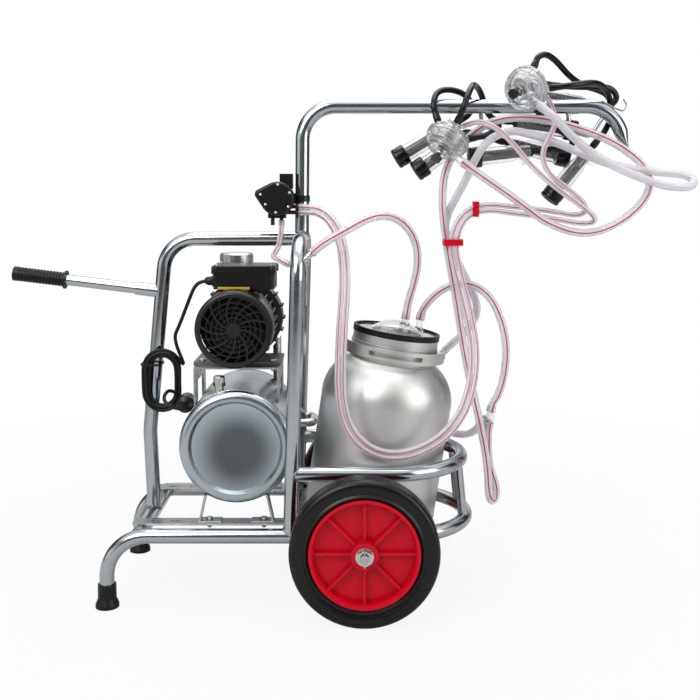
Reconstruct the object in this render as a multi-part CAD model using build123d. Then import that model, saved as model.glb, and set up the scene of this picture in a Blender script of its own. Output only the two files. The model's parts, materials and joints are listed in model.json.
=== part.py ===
"""Wheeled bucket milking machine: bent-tube trolley, vacuum pump set on its tank, can, and two milking clusters.

Millimetres. X runs along the trolley from the push handle (-X) to the can and wheels (+X), Y across it, Z up.
Heights in this source start at a base plane 20 mm above the floor, the wheels' and feet's overhang below the trolley;
the last step sets the machine on the floor, where its origin is the centre of the bounding box.
"""
from build123d import *
import os
from math import atan2, cos, degrees, hypot, pi, radians, sin, sqrt, tan

# ---------------------------------------------------------------- driving dimensions
overall_length = 1404.0
weld_depth = 4.0        # how far an uncut tube end starts from the axis of the tube it is coped to
cope_gap = 0.1          # between a coped end and a tube of its own diameter, filled by the weld
fit = 0.1               # radial gap of parts that are pushed together
run_gap = 0.05          # radial running clearance of shafts and pins

tube_d = 32.0
tube_wall = 2.0
frame_half = 170.0      # centre plane to the side tubes
base_z = 137.0
leg_x = -458.0
leg_foot = 12.0           # rubber under the end of a front leg
leg_bend = 90.0
base_arc_x = 169.0
rail_z = 273.0
rail_arc_x = 157.0
post_d = 20.0
post_y = 60.0
cross_front_x = -387.0
cross_rear_x = -54.0

column_x = -58.4        # at the base tube's height
column_lean = 1.75
column_top = 775.0
column_bend = 80.0

hoop_kink = (-393.0, 331.0)
hoop_slope = 0.0985
hoop_top = 774.0
hoop_bend = 73.0
hoop_kink_bend = 150.0

cane_z = 1074.0
cane_front_x = -36.0
cane_bend = 75.0
cane_tip_angle = 72.0
cane_tip_bend = 84.0
cane_tip_z = 972.0
pinch_length = 46.0
pinch_half_thick = 2.0
pinch_half_width = 24.0
hook_rod_d = 9.0
wire_hook_d = 4.0

foot_d = 51.0
foot_top_d = 40.0
foot_height = 51.0

bolt_r = 4.0
nut_across = 13.0
bolt_head = 5.3

strap_width = 40.0
strap_thick = 4.0
cradle_width = 34.0
cradle_front_edge = -10.0
cradle_rear_edge = 230.0

wheel_x = 101.0
wheel_r = 157.0
tyre_width = 58.0
wheel_out = 94.0        # side tube to the middle of the wheel
rim_r = 114.0
rim_width = 48.0
hub_r = 28.5
hub_width = 62.0
rib_count = 8
axle_r = 10.0
sleeve_wall = 3.0
axle_reach = 146.0      # side tube to the axle's end
axle_plate = (44.0, 6.0, 50.0)

handle_z = 653.0
handle_angle = 7.0
handle_d = 25.0
socket_d = 30.0
grip_d = 33.0
grip_length = 121.0
grip_flange_d = 42.0

tank_x = -179.0
tank_z = 324.0
tank_r = 125.0
tank_wall = 3.0
tank_half = 145.0
tank_knuckle = 16.0
tank_leg_spread = 62.0
tank_leg_foot = 78.0
tank_leg_flange = 45.0
tank_leg_width = 30.0
saddle_half_x = 95.0
saddle_y = (-85.0, 78.0)
saddle_thick = 4.0

motor_x = -183.0
shaft_height = 90.0
motor_r = 76.0
motor_fin_r = 84.0
motor_fin_count = 28
motor_half = 62.0
shield_r = 80.0
shield_y = 80.0
stator_r = 48.0
rotor_air_gap = 0.5
shaft_r = 10.0
bearing_r = 23.5
bearing_width = 14.0
cover_r = 86.0
cover_wall = 1.8
cover_front = -130.0
cover_rear = -66.0
grille_r = 72.0
grille_rings = (27.0, 38.0, 49.0, 60.0)
arm_count = 9           # broad arms of the grille, with a thin one between each two
arm_r = 60.0            # radius that the arms are bent to
motor_feet = (196.0, 124.0, 9.0)
motor_bolt = (80.0, 50.0)

box_x = (-234.0, -98.0)
box_y = (-75.0, 25.0)
box_z = (665.0, 706.0)
box_wall = 3.0
lid_height = 12.0
capacitor_r = 24.0
capacitor_x = -127.0
capacitor_z = 680.0
gland_z = 681.0
gland_y = -40.0
cord_d = 8.0
tie_z = 488.0
tie_x = (-406.0, -360.5)
tie_y = (-38.0, 17.0)
switch_x = -190.0
switch_z = 686.0
switch_size = (20.0, 12.0, 13.0)
switch_gap = 0.8

pump_r = 92.0
pump_fin_r = 98.0
pump_fin_count = 20
pump_end_y = 132.0
pump_cover_y = 146.0
pump_bore_r = 62.0
pump_offset = 8.0
pump_rotor_r = 53.5
pump_wall = 10.0
vac_dir = (0.72, 0.0, 0.69)
feed_dir = (-0.9, 0.1, 0.43)
vane_thick = 4.0
vane_count = 4
silencer_xy = (-201.0, 106.0)
silencer_r = 40.0
silencer_z = (690.0, 736.0)

pulsator_x = -100.0
pulsator_z = 866.0
pulsator_r = 38.0
cover_screws = ((10.0, 31.0), (36.0, 13.0), (33.0, -18.0), (5.0, -31.0), (-18.0, -13.0), (-29.0, 9.0))   # from its middle
pulsator_y = (-52.0, -32.0, -4.0)   # front of the cover, joint, back of the body
spool_r = 8.0
spool_length = 30.0
side_nipple_z = (848.0, 835.0)
side_nipple_tip = -36.0
side_nipple_y = -26.0

can_x = 115.0
can_r = 150.0
can_wall = 1.5
can_straight = 262.0
can_neck_r = 98.0
can_shoulder = 362.0
can_height = 420.0
can_corner = 15.0
gasket_height = 13.0
gasket_r = 100.0
gasket_bore_r = 86.0
lid_r = 95.0
lid_thick = 4.0
dome_r = 60.0
dome_rise = 20.0
bail_z = 385.0
bail_r = 114.0
bail_thick = 3.0
bail_height = 26.0
bail_pin_r = 4.0
bail_boss_r = 8.0
lid_nipples = ((14.0, -22.0), (50.0, 6.0))   # along and across the lid
nipple_r = 7.5
lid_nipple_top = 474.0

hose_d = 18.0
twin_d = 12.0
short_tube_d = 14.0
claw_r = 47.0
claw_wall = 3.0
cup_head_r = 24.0
cup_head = 30.0
cup_shell_r = 20.0
cup_tail_shell_r = 15.0
cup_shell = 115.0
cup_waist = 70.0         # length of the wide part of the shell
cup_tail_r = 7.0
cup_tail = 28.0
outlet_reach = 64.0
nipple_lean = 48.0

# centre, axis through the cover, way of the outlet, turn of the first milk nipple, ends of the pulse hoses
claw_places = (((288, -56, 998), (0.5, 0.35, 0.79), (0.55, -0.54, -0.64), 21, ((331, -62, 1030),)),
               ((458, -78, 1106), (0.64, 0.72, 0.26), (0.9, -0.3, -0.45), 67, ((503, -56, 1092),)))
# mouth of each teat cup and the way from the mouth to the tail
cup_places = (((176, 46, 955), (0.857, 0, 0.515)), ((220, 20, 926), (0.83, 0, 0.56)),
              ((342, 22, 958), (0.994, 0, 0.11)), ((528, 22, 862), (0.63, 0, 0.777)),
              ((585, 72, 960), (-0.97, 0, 0.24)), ((600, 60, 1022), (-0.99, 0, 0.14)),
              ((470, 62, 1112), (0.985, 0, -0.17)), ((475, 112, 1104), (0.985, 0, -0.17)))
# which claw and nipple, the points between, which cup
short_runs = ((0, 2, [(256, -37, 1077), (266, -13, 1107), (300, 18, 1115), (338, 40, 1105), (356, 46, 1078), (345, 46, 1057)], 0),
              (0, 0, [(374, -44, 1006), (400, -25, 1020), (412, 5, 1034), (402, 20, 1042), (384, 20, 1037)], 1),
              (0, 1, [(310, 32, 1016), (340, 58, 1022), (375, 70, 1014), (393, 72, 1007)], 4),
              (0, 3, [(322, -98, 1078), (337, -68, 1112), (352, -20, 1122), (372, 25, 1105), (385, 52, 1070), (402, 60, 1050)], 5),
              (1, 0, [(494, -24, 1057), (516, -16, 1036), (545, 4, 1020), (569, 14, 1012), (582, 20, 998), (578, 22, 982), (560, 22, 975), (539, 22, 980)], 2),
              (1, 3, [(560, -86, 1114), (605, -60, 1122), (640, -15, 1120), (665, 20, 1096), (672, 32, 1052), (655, 23, 1018)], 3),
              (1, 1, [(440, 0, 1129), (455, 18, 1136), (500, 24, 1130), (570, 24, 1120), (645, 44, 1122), (672, 54, 1122), (689, 58, 1108), (690, 62, 1092), (672, 62, 1078)], 6),
              (1, 2, [(484, -63, 1178), (505, -45, 1186), (535, -12, 1174), (575, 40, 1146), (620, 84, 1128), (655, 104, 1122), (680, 110, 1112), (691, 112, 1094), (686, 112, 1077), (668, 112, 1071)], 7))

# hose runs, from end to end
vacuum_run = [(24, -157, 778), (60, -153, 797), (103, -142, 822), (147, -125, 833), (189, -98, 815), (217, -75, 774),
              (224, -55, 724), (216, -38, 676), (205, -27, 638)]
lid_run = [(247, -5, 625), (269, -15, 651), (304, -25, 672), (346, -30, 675), (387, -30, 648), (414, -30, 596),
           (428, -30, 535), (425, -30, 472), (412, -30, 420)]
branch = (391, -30, 366)
branch_ends = ((395, -30, 392), (388.6, -30, 342), (377, -8, 352))
milk_run_1 = [(387, -32, 299), (392, -30, 249), (406, -28, 212), (408, -34, 188), (399, -50, 176), (388, -68, 186),
              (384, -74, 210), (382, -72, 258), (374, -66, 315), (360, -58, 384), (341, -44, 465), (326, -36, 546),
              (312, -38, 637), (295, -42, 723),
              (282, -44, 806), (277, -40, 867), (283, -24, 920), (300, -8, 958), (326, -10, 992), (360, -20, 1022),
              (392, -38, 1040), (440, -47, 1047), (516, -48, 1040), (626, -52, 1007), (702, -58, 962), (738, -62, 915),
              (731, -62, 868), (676, -68, 815), (590, -86, 784), (500, -102, 812), (438, -116, 860)]
milk_run_2 = [(368, 20, 325), (350, 70, 300), (318, 130, 290), (285, 168, 310), (262, 172, 360), (250, 158, 430),
              (285, 115, 480), (312, 80, 518), (344, 50, 551), (369, 20, 599), (357, 0, 645), (328, -10, 698),
              (298, -15, 760), (284, -16, 806), (300, -28, 852), (326, -50, 900), (345, -70, 950), (372, -80, 995),
              (420, -80, 1017), (467, -78, 1008), (533, -76, 986), (640, -74, 940), (742, -70, 925), (800, -76, 921),
              (822, -84, 912), (822, -100, 897), (800, -108, 889), (736, -110, 897), (619, -118, 945), (545, -148, 995), (503, -168, 1036)]
pulse_run_1 = [(4, -45, 833), (33, -75, 805), (51, -105, 754), (54, -135, 680), (48, -160, 604), (44, -172, 521),
               (44, -178, 446), (56, -180, 386), (84, -180, 343), (126, -178, 315), (181, -176, 308), (240, -172, 326),
               (289, -165, 359), (325, -150, 408), (345, -130, 466), (352, -105, 531), (344, -85, 594), (330, -75, 653),
               (317, -70, 707), (305, -68, 760), (315, -66, 805), (338, -64, 832), (378, -65, 842)]
pulse_tail_1 = [(434, -66, 834), (516, -60, 824), (582, -60, 810), (614, -76, 814), (604, -98, 832), (533, -114, 878),
                (467, -116, 931), (426, -116, 982), (390, -102, 1020), (356, -79, 1036)]
pulse_tail_2 = [(436, -66, 848), (518, -60, 839), (572, -56, 828), (594, -72, 836), (584, -94, 858), (545, -104, 889),
                (508, -104, 915), (490, -102, 945), (491, -100, 976), (508, -96, 1006), (521, -86, 1032), (516, -69, 1066)]
supply_run = [(-85, -32, 784), (-88, -75, 756), (-96, -125, 745), (-90, -154, 741)]
twin_gap = 13.0

clip_boxes = (((279, 322), (-78, -31), (762, 776)), ((343, 357), (-75, -54), (826, 860)))

coil_centre = (-358.0, -27.0, 451.0)
coil_r = 37.0
coil_straight = 55.0
coil_bundle_r = 10.0
cord_lead = [(-278, -41, 674), (-295, -42, 632), (-315, -42, 580), (-333, -40, 547), (-344, -33, 527)]
plug_x, plug_z = -298.4, 407.0
plug_y = (-98.0, -82.0, -42.0)
plug_r = 19.8
cord_tail = [(-298.4, -122, 406), (-312, -141, 412), (-334, -136, 424), (-340, -106, 434), (-333, -70, 440), (-323, -42, 443)]

# ---------------------------------------------------------------- what follows from them
axle_z = base_z
floor_z = axle_z - wheel_r
leg_bottom = floor_z + leg_foot
strap_y = tank_half - tank_leg_width / 2 - 1
wheel_y = frame_half + wheel_out
axle_end_y = frame_half + axle_reach
strap_bottom = base_z + tube_d / 2
strap_top = strap_bottom + strap_thick
motor_z = tank_z + 167.0 + shaft_height
can_tilt = degrees(atan2(strap_top - (base_z - tube_d / 2), cradle_rear_edge - cradle_front_edge))
parts = {}


# ---------------------------------------------------------------- places on the leaning tubes and the shaft
def column_at(z):
    """X of the column hoop's axis at a height."""
    return column_x + tan(radians(column_lean)) * (z - base_z)


def cane_at(z):
    """X of the cane's axis at a height between the column's top and the bend."""
    root = column_at(column_top)
    return root + (cane_front_x - root) * (z - column_top) / (cane_z - column_top)


def hoop_at(z):
    """X of the front hoop's axis at a height above its kink."""
    return hoop_kink[0] + hoop_slope * (z - hoop_kink[1])


def shaft_point(y):
    """Point of the motor's and pump's axis."""
    return (motor_x, y, motor_z)


# ---------------------------------------------------------------- small makers
def along(point, direction, x_dir=None):
    """A plane at a point whose Z runs along a direction."""
    return Plane(origin=point, z_dir=direction, x_dir=x_dir)


def rod(path, d):
    """A round bar along a path."""
    return sweep(along(path @ 0, path % 0) * Circle(d / 2), path=path)


def pipe(path, d, wall):
    """A round tube along a path."""
    start = along(path @ 0, path % 0)
    return sweep(start * (Circle(d / 2) - Circle(d / 2 - wall)), path=path)


def bent(points, radii):
    """Straight runs through the points, joined by arcs of the given radii."""
    return FilletPolyline(*points, radius=radii)


def cylinder(start, direction, r, length, bore=0.0):
    """A cylinder or ring from a point along a direction."""
    face = Circle(r) - Circle(bore) if bore else Circle(r)
    return extrude(along(start, direction) * face, amount=length)


def box(x, y, z):
    """A block between pairs of coordinates."""
    middle = [(low + high) / 2 for low, high in (x, y, z)]
    size = [high - low for low, high in (x, y, z)]
    return Pos(*middle) * Box(*size)


def turned(points, place=Plane.XY):
    """A solid of revolution about the Z of a plane, from (radius, height) corners."""
    face = make_face(Polyline(*[(r, 0, z) for r, z in points], close=True))
    return place * revolve(face, Axis.Z)


def hexagon(start, direction, across, height, bore=0.0):
    """A hexagonal prism, such as a nut or a bolt's head."""
    face = RegularPolygon(across / 2, 6, major_radius=False)
    if bore:
        face = face - Circle(bore)
    return extrude(along(start, direction) * face, amount=height)


def strip(points, thick):
    """The section in XZ of a flat bar bent at the points, its thickness to the right of the way it runs."""
    ways = [(b[0] - a[0], b[1] - a[1]) for a, b in zip(points, points[1:])]
    sides = [(z / hypot(x, z), -x / hypot(x, z)) for x, z in ways]
    far = []
    for point, a, b in zip(points, [sides[0], *sides], [*sides, sides[-1]]):
        share = thick / (1 + a[0] * b[0] + a[1] * b[1])
        far.append((point[0] + share * (a[0] + b[0]), point[1] + share * (a[1] + b[1])))
    outline = [(x, 0, z) for x, z in [*points, *reversed(far)]]
    return make_face(Polyline(*outline, close=True))


def group(*shapes):
    """Separate solids in one node."""
    return Compound(children=[s for shape in shapes for s in shape.solids()])


def hose(points, d, stops=()):
    """A hose through hand-chosen points, every corner as round as its runs allow, cut flush at nipples."""
    at = [Vector(*p) for p in points]
    runs = [b - a for a, b in zip(at, at[1:])]
    radii = []
    for a, b in zip(runs, runs[1:]):
        half_turn = radians(a.get_angle(b)) / 2
        radii.append(0.45 * min(a.length, b.length) / tan(half_turn))
    path = bent(at, radii)
    solid = rod(path, d)
    for tip, way in stops:
        solid -= cylinder(tip, Vector(*way) * -1, d, d)
    section = pi * d * d / 4
    print(f"  hose d{d:g}: {path.length:.0f} mm, radii {min(radii):.0f} to {max(radii):.0f}, "
          f"turn max {max(a.get_angle(b) for a, b in zip(runs, runs[1:])):.0f}, "
          f"volume ratio {solid.volume / (section * path.length):.4f}")
    return solid


# ---------------------------------------------------------------- trolley frame
def make_frame():
    """The welded tube frame, with every end coped to the tube that it meets."""
    h, arc = frame_half, frame_half - 0.5
    far = base_arc_x + h
    base_path = bent([(leg_x, -h, leg_bottom), (leg_x, -h, base_z), (far, -h, base_z),
                      (far, h, base_z), (leg_x, h, base_z), (leg_x, h, leg_bottom)],
                     [leg_bend, arc, arc, leg_bend])
    base_skin = rod(base_path, tube_d)
    parts["base_tube"] = pipe(base_path, tube_d, tube_wall)

    low, top = base_z + weld_depth, column_top
    column_path = bent([(column_at(low), -h, low), (column_at(top), -h, top),
                        (column_at(top), h, top), (column_at(low), h, low)],
                       [column_bend, column_bend])
    column_skin = rod(column_path, tube_d)
    parts["column_hoop"] = pipe(column_path, tube_d, tube_wall) - base_skin

    start, far = column_at(rail_z) + weld_depth, rail_arc_x + h
    rail_path = bent([(start, -h, rail_z), (far, -h, rail_z), (far, h, rail_z), (start, h, rail_z)],
                     [arc, arc])
    rail_skin = rod(rail_path, tube_d)
    parts["guard_rail"] = pipe(rail_path, tube_d, tube_wall) - column_skin

    cross_end = h - weld_depth
    crosses = []
    for x in (cross_front_x, cross_rear_x):
        path = Line((x, -cross_end, base_z), (x, cross_end, base_z))
        crosses.append(pipe(path, tube_d, tube_wall) - rod(base_path, tube_d + 2 * cope_gap) - column_skin)
    cross_skin = rod(Line((cross_front_x, -cross_end, base_z), (cross_front_x, cross_end, base_z)), tube_d)
    reach = sqrt(h * h - post_y * post_y)
    half = tube_d / 4
    posts = []
    for y in (-post_y, post_y):
        path = Line((base_arc_x + reach, y, base_z + half), (rail_arc_x + reach, y, rail_z - half))
        posts.append(pipe(path, post_d, tube_wall) - base_skin - rail_skin)
    parts["cross_tubes"] = group(*crosses, *posts)

    corner = hoop_at(hoop_top)
    hoop_path = bent([(cross_front_x + 1, 0, base_z + weld_depth), (hoop_kink[0], 0, hoop_kink[1]),
                      (corner, 0, hoop_top), (column_at(column_top) - weld_depth, 0, hoop_top)],
                     [hoop_kink_bend, hoop_bend])
    hoop_skin = rod(hoop_path, tube_d)
    parts["front_hoop"] = pipe(hoop_path, tube_d, tube_wall) - cross_skin - column_skin
    return base_skin, column_skin, hoop_skin


def make_cane(column_skin, hoop_skin):
    """The hose carrier: a tube from the hoop's top, its end pinched flat, with hooks under and on it."""
    down = Vector(cos(radians(cane_tip_angle)), 0, -sin(radians(cane_tip_angle)))
    tip = Vector(overall_length / 2 - pinch_half_thick * sin(radians(cane_tip_angle)), 0, cane_tip_z)
    ring = tip - down * pinch_length
    corner_x = tip.X - (cane_z - cane_tip_z) / tan(radians(cane_tip_angle))
    path = bent([(column_at(column_top), 0, column_top + weld_depth), (cane_front_x, 0, cane_z),
                 (corner_x, 0, cane_z), tuple(ring)], [cane_bend, cane_tip_bend])
    skin = rod(path, tube_d)
    pinch = loft([along(ring, down, (0, 1, 0)) * Circle(tube_d / 2),
                  along(tip, down, (0, 1, 0)) * Ellipse(pinch_half_width, pinch_half_thick)])
    tube = pipe(path, tube_d, tube_wall) - column_skin - hoop_skin + pinch

    bottom = cane_z - tube_d / 4
    end = overall_length / 2
    bow = bent([(end - 139, 0, bottom), (end - 130, 0, 1018), (end - 86, 0, 1006), (end - 57, 0, 1050)], [14, 14])
    peg = bent([(366, 0, bottom), (371, 0, 1030), (392, 0, 1024), (398, 0, 1044)], [10, 7])
    wire = bent([(end - 61, 0, 1086), (end - 32, 0, 1070.5), (end - 11, 0, 1063), (end - 4, 0, 1078), (end - 12, 0, 1091)],
                [60, 7, 7])
    solid_cane = skin + pinch
    hooks = [rod(bow, hook_rod_d) - solid_cane, rod(peg, hook_rod_d) - solid_cane,
             rod(wire, wire_hook_d) - solid_cane]
    parts["cane_tube"] = group(tube, *hooks)
    return solid_cane


def make_bars(column_skin, base_skin):
    """The flat bars: two slotted straps under the tank and two that carry the can."""
    front, rear = cross_front_x - 20, cross_rear_x + 18
    length, middle = rear - front, (rear + front) / 2
    bars = []
    for y in (-strap_y, strap_y):
        face = RectangleRounded(length, strap_width, 8)
        for x in (tank_x - 60, tank_x + 60):
            face -= Pos(x - middle, 0) * Circle(bolt_r + 0.3)
        for x in (front + 45, front + 95, rear - 40):
            face -= Pos(x - middle, 0) * SlotOverall(26, 9)
        bars.append(Pos(middle, y, strap_bottom) * extrude(face, amount=strap_thick))
    low = base_z - tube_d / 2
    for edge, bottom in ((cradle_front_edge, strap_bottom), (cradle_rear_edge, low - strap_thick)):
        bar = box((edge - cradle_width, edge), (-176, 176), (bottom, bottom + strap_thick))
        bars.append(bar - column_skin - base_skin)
    parts["support_bars"] = group(*bars)



def bolt(x, y, bottom, top):
    """A hexagon bolt from above, with its nut below."""
    up = (0, 0, 1)
    screw = hexagon((x, y, top), up, nut_across, bolt_head) + cylinder((x, y, bottom - 10), up, bolt_r, top - bottom + 10)
    nut = hexagon((x, y, bottom - 6.5), up, nut_across, 6.5, bolt_r + fit)
    return [screw, nut]


def make_feet():
    """Flared rubber feet on the front legs."""
    profile = [(0, 0), (foot_d / 2, 0), (foot_d / 2, 7), (foot_top_d / 2, 20), (foot_top_d / 2, foot_height),
               (tube_d / 2 + fit, foot_height), (tube_d / 2 + fit, leg_foot), (0, leg_foot)]
    parts["rubber_feet"] = group(*[turned(profile, Plane((leg_x, y, floor_z))) for y in (-frame_half, frame_half)])


# ---------------------------------------------------------------- wheels
def make_wheels():
    """Two wheels that turn on sleeves over stub axles welded to the base tube."""
    plate_x, plate_y, plate_z = axle_plate
    axles, hardware = [], []
    for side, sign in (("left", -1), ("right", 1)):
        out = (0, sign, 0)
        inner = frame_half + tube_d / 2
        plate = box((wheel_x - plate_x / 2, wheel_x + plate_x / 2),
                    sorted((sign * inner, sign * (inner + plate_y))),
                    (axle_z - plate_z / 2, axle_z + plate_z / 2))
        plate = fillet(plate.edges().filter_by(Axis.Y), 8)
        pin = cylinder((wheel_x, sign * inner, axle_z), out, axle_r, axle_end_y - inner)
        hole = cylinder((wheel_x, sign * (axle_end_y - 4), axle_z - 20), (0, 0, 1), 1.75, 40)
        axles.append(plate + pin - hole)

        hub_in, hub_out = wheel_y - hub_width / 2, wheel_y + hub_width / 2
        bore = axle_r + sleeve_wall
        ring = axle_r + fit
        plate_face = inner + plate_y
        hardware.append(cylinder((wheel_x, sign * plate_face, axle_z), out, bore - run_gap, hub_out + 0.3 - plate_face, ring))
        hardware.append(cylinder((wheel_x, sign * (plate_face + 0.1), axle_z), out, 22,
                                 hub_in - 0.4 - plate_face, bore + fit))
        washer_y = hub_out + 0.4
        hardware.append(cylinder((wheel_x, sign * washer_y, axle_z), out, 19, 2.5, ring))
        nut = hexagon((wheel_x, sign * (washer_y + 2.6), axle_z), out, 30, 10, ring)
        hardware.append(nut)
        hardware.append(cylinder((wheel_x, sign * (axle_end_y - 4), axle_z - 17), (0, 0, 1), 1.6, 31))

        place = Plane((wheel_x, sign * wheel_y, axle_z), z_dir=out, x_dir=(1, 0, 0))
        half = rim_width / 2
        rim = turned([(rim_r - 9, -half), (rim_r, -half), (rim_r, half - 3), (rim_r + 2, half - 3), (rim_r + 2, half + 2),
                      (rim_r - 5, half + 2), (rim_r - 9, half - 4)])
        web = turned([(hub_r - 2, -4), (rim_r - 8, -4), (rim_r - 8, 4), (hub_r - 2, 4)])
        hub = turned([(bore, -hub_width / 2), (hub_r, -hub_width / 2), (hub_r, hub_width / 2), (bore, hub_width / 2)])
        rim = rim + web + hub
        rib_long = rim_r - 8 - (hub_r - 2)
        for i in range(rib_count):
            rim += Rot(0, 0, 360 / rib_count * i) * Pos(hub_r - 2 + rib_long / 2, 0, 0) * Box(rib_long, 6, 34)
        parts[f"{side}_rim"] = place * rim
        t = tyre_width / 2
        corner = 12
        seat, bead = rim_r + fit, rim_r + 14
        tyre = turned([(seat, -half), (bead, -half - 2), (bead + 4, -t), (wheel_r - corner, -t), (wheel_r - 3, -t + 5),
                       (wheel_r, -t + corner), (wheel_r, t - corner), (wheel_r - 3, t - 5), (wheel_r - corner, t),
                       (bead + 4, t), (bead, half + 4.5), (rim_r + 2.1, half + 2.1), (rim_r + 2.1, half - 3.1), (seat, half - 3.1)])
        parts[f"{side}_tyre"] = place * tyre
    parts["stub_axles"] = group(*axles)
    parts["axle_hardware"] = group(*hardware)


# ---------------------------------------------------------------- push handle
def make_handle(hoop_skin):
    """A socket welded to the front upright, a straight tube in it and a ribbed grip with a flange."""
    slope = radians(handle_angle)
    out = Vector(-cos(slope), 0, sin(slope))
    root = Vector(hoop_at(handle_z), 0, handle_z)
    length = (root.X - grip_d / 2 * sin(slope) + overall_length / 2) / cos(slope)
    socket = cylinder(root + out * 8, out, socket_d / 2, 52, handle_d / 2 + fit)
    parts["handle_socket"] = socket - hoop_skin
    first = root + out * 24
    parts["handle_tube"] = cylinder(first, out, handle_d / 2, length - 24 - 5, handle_d / 2 - tube_wall)
    bore, r = handle_d / 2 + fit, grip_d / 2
    profile = [(bore, 0), (grip_flange_d / 2, 0), (grip_flange_d / 2, 4), (r, 6)]
    step = (grip_length - 20) / 14
    for i in range(14):
        z = 10 + i * step
        profile += [(r, z), (r - 1.5, z + 1.5), (r - 1.5, z + 3), (r, z + 4.5)]
    profile += [(r, grip_length), (0, grip_length), (0, grip_length - 5), (bore, grip_length - 5)]
    parts["handle_grip"] = turned(profile, along(root + out * (length - grip_length), out))


# ---------------------------------------------------------------- vacuum tank
def make_tank():
    """A welded tank with dished ends, on four bent legs that are bolted to the straps."""
    r, wall, knuckle = tank_r, tank_wall, tank_knuckle
    place = along((tank_x, 0, tank_z), (0, 1, 0), (1, 0, 0))
    shoulder = tank_half - knuckle
    shell = place * (Pos(0, 0, 0) * Cylinder(r, 2 * (shoulder - 2)) - Cylinder(r - wall, 2 * shoulder))
    lap = shoulder - 2
    s = knuckle * (1 - sqrt(0.5))
    inner = knuckle - wall
    si = inner * (1 - sqrt(0.5))
    rim = r - knuckle - 6
    dish, lip = 12.0, 8.0

    def sag(width):
        """Depth of the dish halfway out, for a dish of this half width."""
        ball = (width ** 2 + (dish - lip) ** 2) / (2 * (dish - lip))
        return ball - sqrt(ball ** 2 - (rim / 2) ** 2)

    edges = [Line((r - wall, lap), (r, lap)), Line((r, lap), (r, shoulder)),
             ThreePointArc((r, shoulder), (r - s, tank_half - s), (r - knuckle, tank_half)),
             Line((r - knuckle, tank_half), (rim, tank_half)), Line((rim, tank_half), (rim - 6, tank_half - lip)),
             ThreePointArc((rim - 6, tank_half - lip), (rim / 2, tank_half - dish + sag(rim - 6)), (0, tank_half - dish)),
             Line((0, tank_half - dish), (0, tank_half - dish - wall)),
             ThreePointArc((0, tank_half - dish - wall), (rim / 2, tank_half - dish - wall + sag(rim - 7)),
                           (rim - 7, tank_half - lip - wall)),
             Line((rim - 7, tank_half - lip - wall), (rim - 1, tank_half - wall)),
             Line((rim - 1, tank_half - wall), (r - knuckle, tank_half - wall)),
             ThreePointArc((r - knuckle, tank_half - wall), (r - wall - si, tank_half - wall - si), (r - wall, shoulder)),
             Line((r - wall, shoulder), (r - wall, lap))]
    end = revolve(Plane.XZ * make_face(edges), Axis.Z)
    parts["vacuum_tank"] = group(shell, place * end, place * (Rot(180, 0, 0) * end))

    tank_skin = place * Cylinder(r, 2 * tank_half)
    legs = []
    for y in (-strap_y, strap_y):
        for sign in (-1, 1):
            top_x, foot_x = tank_x + sign * tank_leg_spread, tank_x + sign * tank_leg_foot
            face = strip([(top_x, tank_z - 90), (foot_x, strap_top + strap_thick),
                          (foot_x - sign * tank_leg_flange, strap_top + strap_thick)], -sign * strap_thick)
            leg = extrude(face, amount=tank_leg_width / 2, both=True)
            leg = Pos(0, y, 0) * leg - tank_skin
            leg -= cylinder((tank_x + sign * 60, y, strap_top - 5), (0, 0, 1), bolt_r + 0.3, 15)
            legs.append(leg)
    parts["tank_legs"] = group(*legs)

    top = motor_z - shaft_height
    x0, x1 = motor_x - saddle_half_x, motor_x + saddle_half_x
    outer = box((x0, x1), saddle_y, (tank_z + 40, top))
    saddle = outer - box((x0 + saddle_thick, x1 - saddle_thick), (-200, 200), (0, top - saddle_thick)) - tank_skin
    window = box((x0 - 5, x1 + 5), (-45, 40), (0, top - 35))
    saddle -= window
    bolts = []
    for x in (motor_x - motor_bolt[0], motor_x + motor_bolt[0]):
        for y in (-motor_bolt[1], motor_bolt[1]):
            saddle -= cylinder((x, y, top - 10), (0, 0, 1), bolt_r + 0.3, 20)
            bolts += bolt(x, y, top - saddle_thick, top + motor_feet[2])
    parts["motor_saddle"] = saddle
    for y in (-strap_y, strap_y):
        for x in (tank_x - 60, tank_x + 60):
            bolts += bolt(x, y, strap_bottom, strap_top + strap_thick)
    parts["frame_bolts"] = group(*bolts)

    valve_x, valve_y = tank_x - 38, 33 - tank_half
    seat = tank_z + sqrt(r * r - 38 * 38)
    up = (0, 0, 1)
    body = cylinder((valve_x, valve_y, seat - 12), up, 10, 26) + hexagon((valve_x, valve_y, seat + 12), up, 24, 8)
    cap = turned([(0, 0), (13, 0), (13, 12), (10, 15), (0, 15)], Plane((valve_x, valve_y, seat + 20)))
    parts["vacuum_regulator"] = group(body - tank_skin, cap)
    return tank_skin


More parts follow.
